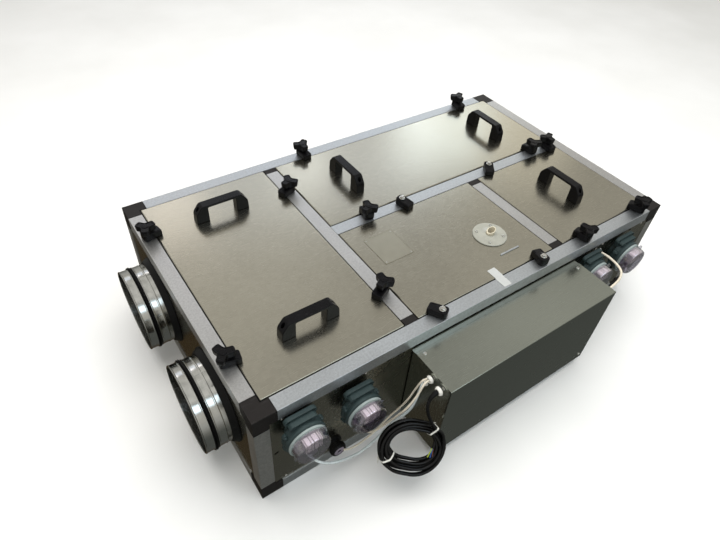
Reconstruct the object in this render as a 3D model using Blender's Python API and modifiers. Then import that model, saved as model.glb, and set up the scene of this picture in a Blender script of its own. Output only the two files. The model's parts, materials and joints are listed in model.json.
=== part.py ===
"""Suspended plate heat recovery unit, lying with its service side up.

Metres, +Z up. The origin is the middle of the casing's underside, X runs along
the casing's length, Y from the control-box side to the back, and Z is height.
Helper at() takes places measured from the casing's front, left, bottom corner.
"""
import math

import bmesh
import bpy
from mathutils import Matrix, Vector

# ---- driving dimensions -------------------------------------------------------
LENGTH = 1.225            # casing, along X
DEPTH = 0.700             # casing, along Y
HEIGHT = 0.313            # casing, along Z
RAIL = 0.033              # visible width of the aluminium frame section
RAIL_WALL = 0.006         # thickness of the angle that the section is drawn as
GAP = 0.0003              # clearance between touching pieces
SEAL = 0.003              # gasket gap round each panel
SHEET = 0.0012            # galvanised sheet
PANEL_RISE = 0.0015       # service panels stand this far above the rails
PANEL_DEPTH = 0.025       # height of a panel's folded sides
SIDE_INSET = 0.002        # side panels lie this far behind the frame's face

CORNER_ARM = 0.051        # top corner connector, arms along X and Y
CORNER_DROP = 0.047       # top corner connector, arm down the post
CORNER_SKIN = 0.003

LONG_DIVIDER_X = 0.3865   # middle of the divider that runs front to back
CROSS_DIVIDER_Y = 0.362   # middle of the divider that runs to the right rail
SHORT_DIVIDER_X = 0.845   # middle of the divider that runs to the front rail
DIVIDER_DEPTH = 0.012

SPIGOT_RADIUS = 0.100     # 200 mm duct
SPIGOT_BORE = 0.096
SPIGOT_SEAT = 0.0985      # outer radius under the lip seal
SPIGOT_FLANGE = 0.110
SPIGOT_REACH = 0.070
SPIGOT_MOUTH = 0.016      # plain length in front of the lip seal
SPIGOT_SLOPE = 0.002
SEAL_WIDTH = 0.012
SPIGOT_Z = 0.168
SPIGOT_Y = {"front": 0.182, "back": 0.496}

HANDLE_WIDTH = 0.024
HANDLE_HEIGHT = 0.045
HANDLE_BAR = 0.006        # thickness of the bar over the fingers
HANDLE_FOOT = 0.068       # half the length at the panel
HANDLE_SHOULDER = (0.0665, 0.025)
HANDLE_TOP = 0.0515       # half the length of the flat top
HANDLE_GAP = 0.036        # half the finger gap

CLAMP_BLOCK = (0.050, 0.027, 0.018)   # length, width, height
CLAMP_TAIL = 0.014                    # block behind the pivot
KNOB_RADIUS = 0.027
KNOB_HOLLOW = 0.32        # how deep the hollows between its lobes go
KNOB_THICK = 0.013
NECK_RADIUS = 0.011
NECK_HEIGHT = 0.005
BOLT_RADIUS = 0.008
BOLT_HEIGHT = 0.006

SWITCH_RADIUS = 0.044
CAP_RADIUS = 0.038
RING_RADIUS = 0.041
SWITCH_FOOT = 0.030
SWITCH_REACH = 0.066

DRAIN_X = 0.725
DRAIN_Y = 0.152
DRAIN_RADIUS = 0.043
DRAIN_HUB = 0.017
DRAIN_SPOUT = 0.016
DRAIN_BORE = 0.009
DRAIN_RISE = 0.012        # mouth above the panel
DRAIN_DROP = 0.030        # spout below the panel's face

BOX_LEFT = 0.371          # control box on the front side
BOX_RIGHT = 0.878
BOX_FRONT = -0.127
BOX_TOP = 0.276
BOX_BOTTOM = 0.024
COVER_OVERHANG = 0.006

GLAND_Y = -0.101          # power gland on the box's left side
GLAND_Z = 0.254
GLAND_REACH = 0.017
GLAND_RADIUS = 0.0125
LEFT_ENTRY = (BOX_LEFT, -0.060, 0.232)
RIGHT_ENTRY = (BOX_RIGHT, -0.105, 0.257)
ENTRY_RADIUS = 0.0045
SENSOR_RADIUS = 0.003
CORD_RADIUS = 0.0035
COIL_CENTRE = (0.2929, -0.122, 0.1245)
COIL_LONG_AXIS = Vector((0.7795, -0.5521, -0.2962))
COIL_SHORT_AXIS = Vector((0.5086, 0.2813, 0.8138))
COIL_STRAIGHT = 0.010     # half the straight side of the coil
COIL_BEND = 0.052         # radius of its round ends
COIL_BUNDLE = 0.013       # radius of the bundle of turns
COIL_MEETS = math.radians(50)         # the cord meets the bundle this far round it
COIL_JOIN = math.radians(50)          # and this far round the coil

INSIDE_LOW = 0.030        # floor and ceiling of the chambers
INSIDE_HIGH = 0.284
EXCHANGER_SIDE = 0.360
FAN_RADIUS = 0.095
FAN_HUB = 0.046
FAN_WIDTH = 0.060
FAN_BLADES = 8
FAN_INLET = 0.068
FAN_Z = 0.160
MOTOR_RADIUS = 0.040
FILTER_WIDTH = 0.240
FILTER_DEPTH = 0.040
FILTER_PLEATS = 10
# middle of each fan, and the side of it that air comes in from
FANS = {
    "exhaust_fan": (0.190, SPIGOT_Y["front"], 1),
    "supply_fan": (1.035, SPIGOT_Y["back"], -1),
}
FILTERS = {
    "outdoor_air_filter": (0.120, SPIGOT_Y["back"]),
    "extract_air_filter": (1.105, SPIGOT_Y["front"]),
}

# place of the pivot and direction of the arm (degrees from +X) of each clamp
KNOB_CLAMPS = {
    "knob_clamp_left_front": (0.0165, 0.143, 350),
    "knob_clamp_left_back": (0.0165, 0.559, 10),
    "knob_clamp_divider_back": (0.3865, 0.552, 200),
    "knob_clamp_divider_front": (0.3865, 0.138, 205),
    "knob_clamp_back_left": (0.500, 0.6835, 275),
    "knob_clamp_back_right": (1.085, 0.6835, 265),
    "knob_clamp_cross_left": (0.505, 0.362, 80),
    "knob_clamp_cross_right": (1.100, 0.362, 95),
    "knob_clamp_cross_end": (1.160, 0.362, 265),
    "knob_clamp_front_left": (0.925, 0.0165, 100),
    "knob_clamp_front_right": (1.148, 0.0165, 110),
}
SCREW_CLAMPS = {
    "screw_clamp_cross_left": (0.610, 0.362, 285),
    "screw_clamp_cross_right": (0.920, 0.362, 235),
    "screw_clamp_front_left": (0.452, 0.0165, 120),
    "screw_clamp_front_right": (0.765, 0.0165, 75),
}
# middle of each handle and the direction of its bar (degrees from +X)
HANDLES = {
    "handle_left_back": (0.200, 0.556, 0),
    "handle_left_front": (0.200, 0.140, 0),
    "handle_back_left": (0.545, 0.522, 90),
    "handle_back_right": (1.057, 0.522, 90),
    "handle_right": (1.026, 0.190, 90),
}
# places of the differential pressure switches on the front side
SWITCHES = {
    "pressure_switch_left_outer": (0.091, 0.228),
    "pressure_switch_left_inner": (0.225, 0.207),
    "pressure_switch_right_inner": (0.945, 0.222),
    "pressure_switch_right_outer": (1.078, 0.222),
}

PANEL_TOP = HEIGHT + PANEL_RISE
OVERLAP = 0.001           # pieces that are united run this far into each other


def at(x, y, z):
    """Turn a place measured from the front, left, bottom corner into a place."""
    return Vector((x - LENGTH / 2, y - DEPTH / 2, z))


# ---- scene, collections and materials ------------------------------------------
for old in list(bpy.data.objects):
    bpy.data.objects.remove(old, do_unlink=True)

parts = bpy.data.collections.new("heat_recovery_unit")
cutters = bpy.data.collections.new("cutters")
for collection in (parts, cutters):
    bpy.context.scene.collection.children.link(collection)


def material(name, colour, roughness, metallic):
    made = bpy.data.materials.new(name)
    made.use_nodes = True
    shader = made.node_tree.nodes["Principled BSDF"]
    shader.inputs["Base Color"].default_value = (*colour, 1.0)
    shader.inputs["Roughness"].default_value = roughness
    shader.inputs["Metallic"].default_value = metallic
    return made


ALUMINIUM = material("aluminium_section", (0.78, 0.79, 0.80), 0.35, 1.0)
GALVANISED = material("galvanised_sheet", (0.58, 0.57, 0.52), 0.30, 1.0)
BLACK_PLASTIC = material("black_plastic", (0.03, 0.03, 0.035), 0.50, 0.0)
GREY_PLASTIC = material("grey_plastic", (0.22, 0.26, 0.26), 0.45, 0.0)
WHITE_PLASTIC = material("white_plastic", (0.82, 0.81, 0.76), 0.40, 0.0)
BLACK_CABLE = material("black_cable", (0.02, 0.02, 0.02), 0.35, 0.0)
PAPER = material("filter_medium", (0.80, 0.82, 0.80), 0.90, 0.0)
FIN = material("exchanger_plate", (0.80, 0.81, 0.82), 0.30, 1.0)


def place(name, mesh, finish, collection=parts):
    """Link a new object that shows the mesh in the given finish."""
    made = bpy.data.objects.new(name, mesh)
    mesh.materials.clear()
    mesh.materials.append(finish)
    collection.objects.link(made)
    return made


def cutter(name, mesh):
    made = place(name, mesh, BLACK_PLASTIC, cutters)
    made.hide_render = True
    made.display_type = "WIRE"
    return made


# ---- shapes ------------------------------------------------------------------------
def cube_mesh(name, low, high):
    """A box between two corners, as a mesh centred on its own middle."""
    size = Vector(high) - Vector(low)
    grid = bmesh.new()
    bmesh.ops.create_cube(grid, size=1.0)
    bmesh.ops.scale(grid, vec=size, verts=grid.verts)
    mesh = bpy.data.meshes.new(name)
    grid.to_mesh(mesh)
    grid.free()
    return mesh


def box(name, low, high, finish):
    made = place(name, cube_mesh(name, low, high), finish)
    made.location = (Vector(low) + Vector(high)) / 2
    return made


def box_cutter(name, low, high):
    made = cutter(name, cube_mesh(name, low, high))
    made.location = (Vector(low) + Vector(high)) / 2
    return made


def rod_cutter(name, centre, radius, length, axis, sides=32):
    """A round cutter whose middle is at centre, along a world axis."""
    rod = bmesh.new()
    turn = Vector((0, 0, 1)).rotation_difference(Vector(axis)).to_matrix()
    bmesh.ops.create_cone(rod, cap_ends=True, segments=sides, radius1=radius,
                          radius2=radius, depth=length, matrix=turn.to_4x4())
    mesh = bpy.data.meshes.new(name)
    rod.to_mesh(mesh)
    rod.free()
    made = cutter(name, mesh)
    made.location = centre
    return made


def cut(piece, tool, operation="DIFFERENCE"):
    step = piece.modifiers.new(tool.name, "BOOLEAN")
    step.operation = operation
    step.object = tool
    step.solver = "EXACT"


def sheet(name, low, high, open_sides, finish, thickness=SHEET):
    """A folded sheet: a box without the named sides, thickened inward."""
    mesh = cube_mesh(name, low, high)
    faces = {"right": (0, 1), "left": (0, -1), "back": (1, 1),
             "front": (1, -1), "top": (2, 1), "bottom": (2, -1)}
    fold = bmesh.new()
    fold.from_mesh(mesh)
    gone = []
    for side in open_sides:
        axis, sign = faces[side]
        gone += [face for face in fold.faces if face.normal[axis] * sign > 0.9]
    bmesh.ops.delete(fold, geom=gone, context="FACES")
    fold.to_mesh(mesh)
    fold.free()
    made = place(name, mesh, finish)
    made.location = (Vector(low) + Vector(high)) / 2
    skin = made.modifiers.new("thickness", "SOLIDIFY")
    skin.thickness = thickness
    skin.offset = -1.0
    skin.use_even_offset = True
    return made


def turned(name, profile, finish, steps=24, closed=False):
    """Turn (radius, height) points, listed top to bottom, about the object's Z."""
    outline = bpy.data.meshes.new(name)
    points = [(radius, 0.0, height) for radius, height in profile]
    edges = [(i, i + 1) for i in range(len(points) - 1)]
    if closed:
        edges.append((len(points) - 1, 0))
    outline.from_pydata(points, edges, [])
    made = place(name, outline, finish)
    lathe = made.modifiers.new("turn", "SCREW")
    lathe.angle = math.tau
    lathe.screw_offset = 0.0
    lathe.steps = steps
    lathe.render_steps = steps
    lathe.axis = "Z"
    lathe.use_merge_vertices = True
    lathe.merge_threshold = 0.00005
    return made


def plate(name, outlines, thickness, finish):
    """A flat piece from closed outlines in its own XY plane, centred on it."""
    curve = bpy.data.curves.new(name, "CURVE")
    curve.dimensions = "2D"
    curve.fill_mode = "BOTH"
    curve.extrude = thickness / 2
    for outline in outlines:
        spline = curve.splines.new("POLY")
        spline.points.add(len(outline) - 1)
        for point, (x, y) in zip(spline.points, outline):
            point.co = (x, y, 0, 1)
        spline.use_cyclic_u = True
    made = bpy.data.objects.new(name, curve)
    curve.materials.append(finish)
    parts.objects.link(made)
    return made


def as_mesh(piece):
    """Swap a curve object for a mesh object of the same shape and place."""
    bpy.context.view_layer.update()
    ready = piece.evaluated_get(bpy.context.evaluated_depsgraph_get())
    mesh = bpy.data.meshes.new_from_object(ready)
    weld = bmesh.new()
    weld.from_mesh(mesh)
    bmesh.ops.remove_doubles(weld, verts=weld.verts, dist=0.00005)
    bmesh.ops.recalc_face_normals(weld, faces=weld.faces)
    weld.to_mesh(mesh)
    weld.free()
    name = piece.name
    where = piece.matrix_world.copy()
    finish = piece.data.materials[0]
    bpy.data.objects.remove(piece, do_unlink=True)
    made = place(name, mesh, finish)
    made.matrix_world = where
    return made


def smooth_path(knots, spacing):
    """Points at an even spacing along a smooth curve through the knots."""
    knots = [Vector(knot) for knot in knots]
    ends = [2 * knots[0] - knots[1]] + knots + [2 * knots[-1] - knots[-2]]
    fine = []
    for i in range(len(knots) - 1):
        a, b, c, d = ends[i:i + 4]
        for step in range(20):
            t = step / 20
            fine.append(0.5 * (2 * b + (c - a) * t + (2 * a - 5 * b + 4 * c - d) * t ** 2
                               + (3 * b - a - 3 * c + d) * t ** 3))
    fine.append(knots[-1])
    length = sum((q - p).length for p, q in zip(fine, fine[1:]))
    count = max(2, round(length / spacing))
    path = [fine[0]]
    walked = 0.0
    for p, q in zip(fine, fine[1:]):
        stretch = (q - p).length
        while len(path) < count and walked + stretch >= len(path) * length / count:
            share = (len(path) * length / count - walked) / stretch
            path.append(p.lerp(q, share))
        walked += stretch
    path.append(fine[-1])
    return path


def tube(name, points, radius, finish, closed=False, rings=2):
    curve = bpy.data.curves.new(name, "CURVE")
    curve.dimensions = "3D"
    curve.bevel_depth = radius
    curve.bevel_resolution = rings
    curve.use_fill_caps = not closed
    spline = curve.splines.new("POLY")
    spline.points.add(len(points) - 1)
    for point, place_at in zip(spline.points, points):
        point.co = (*place_at, 1)
    spline.use_cyclic_u = closed
    made = bpy.data.objects.new(name, curve)
    curve.materials.append(finish)
    parts.objects.link(made)
    return made


# ---- casing frame and its connectors --------------------------------------------------
def corner_shell(name, sign_x, sign_y, grow):
    """The outer skin of a top corner, as a box with its inner part taken out."""
    corner = Vector((sign_x * LENGTH / 2, sign_y * DEPTH / 2, HEIGHT))
    inward = Vector((-sign_x, -sign_y, -1))
    arm = Vector((CORNER_ARM, CORNER_ARM, CORNER_DROP)) + Vector((grow, grow, grow))
    far = corner + Vector([inward[i] * arm[i] for i in range(3)])
    near = corner - inward * (0.010 if grow else 0.0)
    low = Vector([min(near[i], far[i]) for i in range(3)])
    high = Vector([max(near[i], far[i]) for i in range(3)])
    core_near = corner + inward * (CORNER_SKIN + grow)
    core_far = corner + inward * 0.2
    core_low = Vector([min(core_near[i], core_far[i]) for i in range(3)])
    core_high = Vector([max(core_near[i], core_far[i]) for i in range(3)])
    core = box_cutter(name + "_core", core_low, core_high)
    return low, high, core


def make_frame():
    frame = box("frame", at(0, 0, 0), at(LENGTH, DEPTH, HEIGHT), ALUMINIUM)
    outside = 0.05            # the cutters end this far off the casing
    windows = []
    for axis in range(3):
        low = [RAIL, RAIL, RAIL]
        high = [LENGTH - RAIL, DEPTH - RAIL, HEIGHT - RAIL]
        low[axis] = -outside
        high[axis] = (LENGTH, DEPTH, HEIGHT)[axis] + outside
        windows.append(box_cutter("window_" + "xyz"[axis], at(*low), at(*high)))
    hollow = box_cutter("hollow", at(RAIL_WALL, RAIL_WALL, RAIL_WALL),
                        at(LENGTH - RAIL_WALL, DEPTH - RAIL_WALL, HEIGHT - RAIL_WALL))
    cut(frame, hollow)
    for window in windows:
        cut(frame, window)
    sides = {"left": -1, "right": 1}
    rows = {"front": -1, "back": 1}
    for side, sign_x in sides.items():
        for row, sign_y in rows.items():
            name = "corner_connector_" + row + "_" + side
            low, high, core = corner_shell("room_" + name, sign_x, sign_y, GAP)
            room = cutter("room_" + name, cube_mesh("room_" + name, low, high))
            room.location = (low + high) / 2
            cut(room, core)
            cut(frame, room)
            low, high, core = corner_shell(name, sign_x, sign_y, 0.0)
            connector = box(name, low, high, BLACK_PLASTIC)
            cut(connector, core)
            for window in windows:
                cut(connector, window)


def make_dividers():
    top = HEIGHT
    low = HEIGHT - DIVIDER_DEPTH
    half = RAIL / 2
    inside = RAIL + GAP
    box("long_divider", at(LONG_DIVIDER_X - half, inside, low),
        at(LONG_DIVIDER_X + half, DEPTH - inside, top), ALUMINIUM)
    box("cross_divider", at(LONG_DIVIDER_X + half + GAP, CROSS_DIVIDER_Y - half, low),
        at(LENGTH - inside, CROSS_DIVIDER_Y + half, top), ALUMINIUM)
    box("short_divider", at(SHORT_DIVIDER_X - half, inside, low),
        at(SHORT_DIVIDER_X + half, CROSS_DIVIDER_Y - half - GAP, top), ALUMINIUM)


# ---- panels ---------------------------------------------------------------------------
def make_service_panels():
    """The four removable panels between the rails and the dividers."""
    half = RAIL / 2 + SEAL
    rim = RAIL + SEAL
    low = PANEL_TOP - PANEL_DEPTH
    fields = {
        "service_panel_left": (rim, rim, LONG_DIVIDER_X - half, DEPTH - rim),
        "service_panel_back": (LONG_DIVIDER_X + half, CROSS_DIVIDER_Y + half,
                               LENGTH - rim, DEPTH - rim),
        "service_panel_centre": (LONG_DIVIDER_X + half, rim,
                                 SHORT_DIVIDER_X - half, CROSS_DIVIDER_Y - half),
        "service_panel_right": (SHORT_DIVIDER_X + half, rim,
                                LENGTH - rim, CROSS_DIVIDER_Y - half),
    }
    for name, (x0, y0, x1, y1) in fields.items():
        panel = sheet(name, at(x0, y0, low), at(x1, y1, PANEL_TOP), ["bottom"], GALVANISED)
        if name == "service_panel_centre":
            hole = rod_cutter("drain_hole", at(DRAIN_X, DRAIN_Y, PANEL_TOP),
                              DRAIN_SPOUT + 0.0005, 0.02, (0, 0, 1), 20)
            cut(panel, hole)


def make_side_panels():
    rim = RAIL + GAP
    near = SIDE_INSET
    back = DEPTH - SIDE_INSET
    sheet("front_panel", at(rim, near, rim), at(LENGTH - rim, near + PANEL_DEPTH, HEIGHT - rim),
          ["back"], GALVANISED)
    sheet("back_panel", at(rim, back - PANEL_DEPTH, rim), at(LENGTH - rim, back, HEIGHT - rim),
          ["front"], GALVANISED)
    sheet("bottom_panel", at(rim, rim, 0), at(LENGTH - rim, DEPTH - rim, PANEL_DEPTH),
          ["top"], GALVANISED)
    left = sheet("left_panel", at(near, rim, rim),
                 at(near + PANEL_DEPTH, DEPTH - rim, HEIGHT - rim), ["right"], GALVANISED)
    right = sheet("right_panel", at(LENGTH - near - PANEL_DEPTH, rim, rim),
                  at(LENGTH - near, DEPTH - rim, HEIGHT - rim), ["left"], GALVANISED)
    for row, y in SPIGOT_Y.items():
        for side, panel, x in (("left", left, 0.0), ("right", right, LENGTH)):
            hole = rod_cutter("duct_hole_" + row + "_" + side, at(x, y, SPIGOT_Z),
                              SPIGOT_RADIUS + GAP * 2, 0.06, (1, 0, 0))
            cut(panel, hole)


# ---- duct spigots ----------------------------------------------------------------------
def make_spigots():
    """Tube with a rolled rim, a bead for the lip seal and a wall flange."""
    inner_end = -0.012
    wall = GAP - SIDE_INSET
    flange_face = wall + SHEET
    seat_front = SPIGOT_REACH - SPIGOT_MOUTH
    seat_back = seat_front - SPIGOT_SLOPE - SEAL_WIDTH
    profile = [
        (SPIGOT_BORE, SPIGOT_REACH), (SPIGOT_RADIUS, SPIGOT_REACH),
        (SPIGOT_RADIUS, seat_front), (SPIGOT_SEAT, seat_front - SPIGOT_SLOPE),
        (SPIGOT_SEAT, seat_back), (SPIGOT_RADIUS, seat_back - SPIGOT_SLOPE),
        (SPIGOT_SEAT, flange_face), (SPIGOT_FLANGE, flange_face),
        (SPIGOT_FLANGE, wall), (SPIGOT_SEAT, wall), (SPIGOT_SEAT, inner_end),
        (SPIGOT_BORE, inner_end),
    ]
    for row, y in SPIGOT_Y.items():
        for side, x, sign in (("left", 0.0, -1), ("right", LENGTH, 1)):
            name = "duct_spigot_" + row + "_" + side
            spigot = turned(name, profile, GALVANISED, 28, closed=True)
            spigot.location = at(x, y, SPIGOT_Z)
            spigot.rotation_euler = (0, sign * math.pi / 2, 0)


# ---- handles and clamps ------------------------------------------------------------------
def make_handles():
    """Bridge handles: a flat bar on two solid feet round a finger gap."""
    half = [(HANDLE_FOOT, 0.0), HANDLE_SHOULDER, (HANDLE_TOP, HANDLE_HEIGHT)]
    gap_top = HANDLE_HEIGHT - HANDLE_BAR
    outline = half + [(-x, z) for x, z in reversed(half)]
    outline += [(-HANDLE_GAP, 0.0), (-HANDLE_GAP, gap_top),
                (HANDLE_GAP, gap_top), (HANDLE_GAP, 0.0)]
    for name, (x, y, angle) in HANDLES.items():
        handle = plate(name, [outline], HANDLE_WIDTH, BLACK_PLASTIC)
        handle.rotation_euler = (math.pi / 2, 0, math.radians(angle))
        handle.location = at(x, y, PANEL_TOP + GAP)


def knob_outline():
    """Three rounded lobes with hollows between them."""
    points = []
    steps = 30
    for i in range(steps):
        angle = math.tau * i / steps
        radius = KNOB_RADIUS * (1 - KNOB_HOLLOW + KNOB_HOLLOW * math.cos(3 * angle))
        points.append((radius * math.cos(angle), radius * math.sin(angle)))
    return points


def rod_mesh(name, radius, length, sides=16):
    rod = bmesh.new()
    bmesh.ops.create_cone(rod, cap_ends=True, segments=sides, radius1=radius,
                          radius2=radius, depth=length)
    mesh = bpy.data.meshes.new(name)
    rod.to_mesh(mesh)
    rod.free()
    return mesh


def join_tool(piece, name, mesh, height):
    """Unite the piece with a mesh centred at the given height on its own Z."""
    tool = cutter(name, mesh)
    tool.parent = piece
    tool.location = (0, 0, height)
    cut(piece, tool, "UNION")
    return tool


def make_clamp(name, x, y, angle, knob):
    """A block that turns on its stud, with a lobed knob or a bolt on top."""
    length, width, height = CLAMP_BLOCK
    rest = PANEL_RISE + GAP
    low = (-CLAMP_TAIL, -width / 2, rest)
    high = (length - CLAMP_TAIL, width / 2, rest + height)
    mesh = cube_mesh(name, low, high)
    mesh.transform(Matrix.Translation((Vector(low) + Vector(high)) / 2))
    clamp = place(name, mesh, BLACK_PLASTIC)
    clamp.location = at(x, y, HEIGHT)
    clamp.rotation_euler = (0, 0, math.radians(angle))
    top = rest + height
    foot = rest - GAP + OVERLAP
    join_tool(clamp, name + "_foot", rod_mesh(name + "_foot", NECK_RADIUS, foot), GAP + foot / 2)
    if knob:
        neck = NECK_HEIGHT + KNOB_THICK / 2
        join_tool(clamp, name + "_neck", rod_mesh(name + "_neck", NECK_RADIUS, neck + OVERLAP),
                  top + (neck - OVERLAP) / 2)
        head = plate(name + "_head", [knob_outline()], KNOB_THICK, BLACK_PLASTIC)
        head = as_mesh(head)
        parts.objects.unlink(head)
        cutters.objects.link(head)
        head.hide_render = True
        head.display_type = "WIRE"
        head.parent = clamp
        head.location = (0, 0, top + NECK_HEIGHT + KNOB_THICK / 2)
        cut(clamp, head, "UNION")
    else:
        join_tool(clamp, name + "_bolt",
                  rod_mesh(name + "_bolt", BOLT_RADIUS, BOLT_HEIGHT + OVERLAP, 6),
                  top + (BOLT_HEIGHT - OVERLAP) / 2)


def make_clamps():
    for name, (x, y, angle) in KNOB_CLAMPS.items():
        make_clamp(name, x, y, angle, True)
    for name, (x, y, angle) in SCREW_CLAMPS.items():
        make_clamp(name, x, y, angle, False)


# ---- condensate drain --------------------------------------------------------------------
def make_drain():
    """Flange on the panel round a hub, with a spout through the panel."""
    mouth = DRAIN_HUB - 0.003
    thick = 0.003
    edge = 0.002
    profile = [
        (DRAIN_BORE, DRAIN_RISE), (mouth, DRAIN_RISE), (DRAIN_HUB, thick + 0.001),
        (DRAIN_RADIUS - edge, thick), (DRAIN_RADIUS, 0.0), (DRAIN_SPOUT, 0.0),
        (DRAIN_SPOUT, -DRAIN_DROP), (DRAIN_BORE, -DRAIN_DROP),
    ]
    drain = turned("drain_flange", profile, WHITE_PLASTIC, 28, closed=True)
    drain.location = at(DRAIN_X, DRAIN_Y, PANEL_TOP + GAP)


# ---- pressure switches and control box ------------------------------------------------------
def make_switches():
    """Foot on the front panel, grey body disc and a round cap."""
    foot = -SIDE_INSET + GAP
    rounding = 0.003
    ring_front = 0.044
    ring_back = 0.038
    body_front = 0.034
    body_back = 0.014
    foot_front = 0.010
    profile = [
        (0.0, SWITCH_REACH), (CAP_RADIUS - rounding, SWITCH_REACH),
        (CAP_RADIUS, SWITCH_REACH - rounding), (CAP_RADIUS, ring_front),
        (RING_RADIUS, ring_front), (RING_RADIUS, ring_back), (SWITCH_RADIUS, body_front),
        (SWITCH_RADIUS, body_back), (SWITCH_FOOT, foot_front), (SWITCH_FOOT, foot), (0.0, foot),
    ]
    for name, (x, z) in SWITCHES.items():
        switch = turned(name, profile, GREY_PLASTIC, 24)
        switch.location = at(x, 0, z)
        switch.rotation_euler = (math.pi / 2, 0, 0)


def make_control_box():
    """A tray fixed to the front side, under a bent cover of top and front."""
    lip = SHEET + GAP
    behind = -GAP
    tray_top = BOX_TOP - lip
    tray_front = BOX_FRONT + lip
    tray = sheet("control_box", at(BOX_LEFT, tray_front, BOX_BOTTOM),
                 at(BOX_RIGHT, behind, tray_top), ["top", "front"], GALVANISED)
    glands = {"power_entry": (BOX_LEFT, GLAND_Y, GLAND_Z),
              "left_entry": LEFT_ENTRY, "right_entry": RIGHT_ENTRY}
    for name, (x, y, z) in glands.items():
        cut(tray, rod_cutter(name, at(x, y, z), ENTRY_RADIUS, 0.01, (1, 0, 0), 12))
    sheet("control_cover", at(BOX_LEFT - COVER_OVERHANG, BOX_FRONT, BOX_BOTTOM),
          at(BOX_RIGHT + COVER_OVERHANG, behind, BOX_TOP), ["bottom", "back", "left", "right"],
          GALVANISED)


def make_power_cord():
    """Gland on the box, the cord hanging from it, and its tied coil."""
    bore = CORD_RADIUS + GAP
    nut = GLAND_RADIUS - 0.001
    nut_back = 0.004
    nut_front = 0.012
    profile = [
        (bore, GLAND_REACH), (GLAND_RADIUS * 0.64, GLAND_REACH), (nut, nut_front),
        (nut, nut_back), (GLAND_RADIUS, nut_back), (GLAND_RADIUS, GAP), (bore, GAP),
    ]
    gland = turned("power_gland", profile, WHITE_PLASTIC, 16, closed=True)
    gland.location = at(BOX_LEFT, GLAND_Y, GLAND_Z)
    gland.rotation_euler = (0, -math.pi / 2, 0)

    side = COIL_LONG_AXIS.cross(COIL_SHORT_AXIS)
    radial = COIL_LONG_AXIS * math.cos(COIL_JOIN) + COIL_SHORT_AXIS * math.sin(COIL_JOIN)
    beside = radial * math.cos(COIL_MEETS) + side * math.sin(COIL_MEETS)
    join = (Vector(COIL_CENTRE) + COIL_LONG_AXIS * COIL_STRAIGHT + radial * COIL_BEND
            + beside * (COIL_BUNDLE + CORD_RADIUS + GAP))
    route = [
        (BOX_LEFT - GLAND_REACH - GAP, GLAND_Y, GLAND_Z), (0.348, -0.101, 0.2537),
        (0.3375, -0.1022, 0.2480), (0.3300, -0.1055, 0.2350), (0.3283, -0.1110, 0.2180),
        (0.3315, -0.1195, 0.1980), (0.3380, -0.1310, 0.1775), tuple(join),
    ]
    path = smooth_path([at(*knot) for knot in route], 0.0075)
    tube("power_cord", path, CORD_RADIUS, BLACK_CABLE)

    turns = []
    arc = 9
    for end in (1, -1):
        for i in range(arc + 1):
            angle = math.pi * (i / arc - 0.5) + (0 if end == 1 else math.pi)
            along = end * COIL_STRAIGHT + COIL_BEND * math.cos(angle)
            across = COIL_BEND * math.sin(angle)
            turns.append(at(*COIL_CENTRE) + COIL_LONG_AXIS * along + COIL_SHORT_AXIS * across)
    tube("power_cord_coil", turns, COIL_BUNDLE, BLACK_CABLE, closed=True)


def make_sensor_cables():
    """White leads held between the pressure switches and the control box."""
    left = [(BOX_LEFT - 0.002, *LEFT_ENTRY[1:]), (0.352, -0.0605, 0.2290),
            (0.341, -0.0655, 0.2080), (0.327, -0.0680, 0.1750), (0.313, -0.0610, 0.1450),
            (0.302, -0.0470, 0.1080), (0.288, -0.0400, 0.0700), (0.262, -0.0390, 0.0500),
            (0.225, -0.0420, 0.0450), (0.185, -0.0420, 0.0540), (0.150, -0.0410, 0.0730),
            (0.120, -0.0370, 0.1020), (0.102, -0.0310, 0.1350), (0.0945, -0.0270, 0.1650),
            (0.095, -0.025, 0.183)]
    tube("sensor_cable_left", smooth_path([at(*knot) for knot in left], 0.011),
         SENSOR_RADIUS, WHITE_PLASTIC)
    right = [(BOX_RIGHT + 0.002, *RIGHT_ENTRY[1:]), (0.905, -0.1035, 0.2575),
             (0.943, -0.098, 0.258), (0.975, -0.083, 0.2555), (0.989, -0.060, 0.2555),
             (0.986, -0.035, 0.262), (0.978, -0.018, 0.267), (0.976, 0.0, 0.268)]
    tube("sensor_cable_right", smooth_path([at(*knot) for knot in right], 0.009),
         SENSOR_RADIUS, WHITE_PLASTIC)


# ---- inside: exchanger, fans and filters --------------------------------------------------------
def make_exchanger():
    """Square cross-flow block, turned so that each face meets its own chamber."""
    half = EXCHANGER_SIDE / 2
    core = box("heat_exchanger", (-half, -half, INSIDE_LOW), (half, half, INSIDE_HIGH), FIN)
    core.rotation_euler = (0, 0, math.pi / 4)


def wheel_outline():
    """Hub with backward-curved blades, as one closed outline."""
    thick = 0.0022
    sweep_back = 0.55
    root = FAN_HUB * 0.98
    tip = FAN_RADIUS - 0.004
    points = []
    for blade in range(FAN_BLADES):
        start = math.tau * blade / FAN_BLADES
        sides = []
        for edge in (1, -1):
            side = []
            for i in range(5):
                share = i / 4
                radius = root + (tip - root) * share
                sweep = start - sweep_back * share + edge * thick / radius / 2
                side.append((radius * math.cos(sweep), radius * math.sin(sweep)))
            sides.append(side)
        points += sides[1] + sides[0][::-1]
        middle = start + math.pi / FAN_BLADES
        points.append((FAN_HUB * math.cos(middle), FAN_HUB * math.sin(middle)))
    return points


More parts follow.
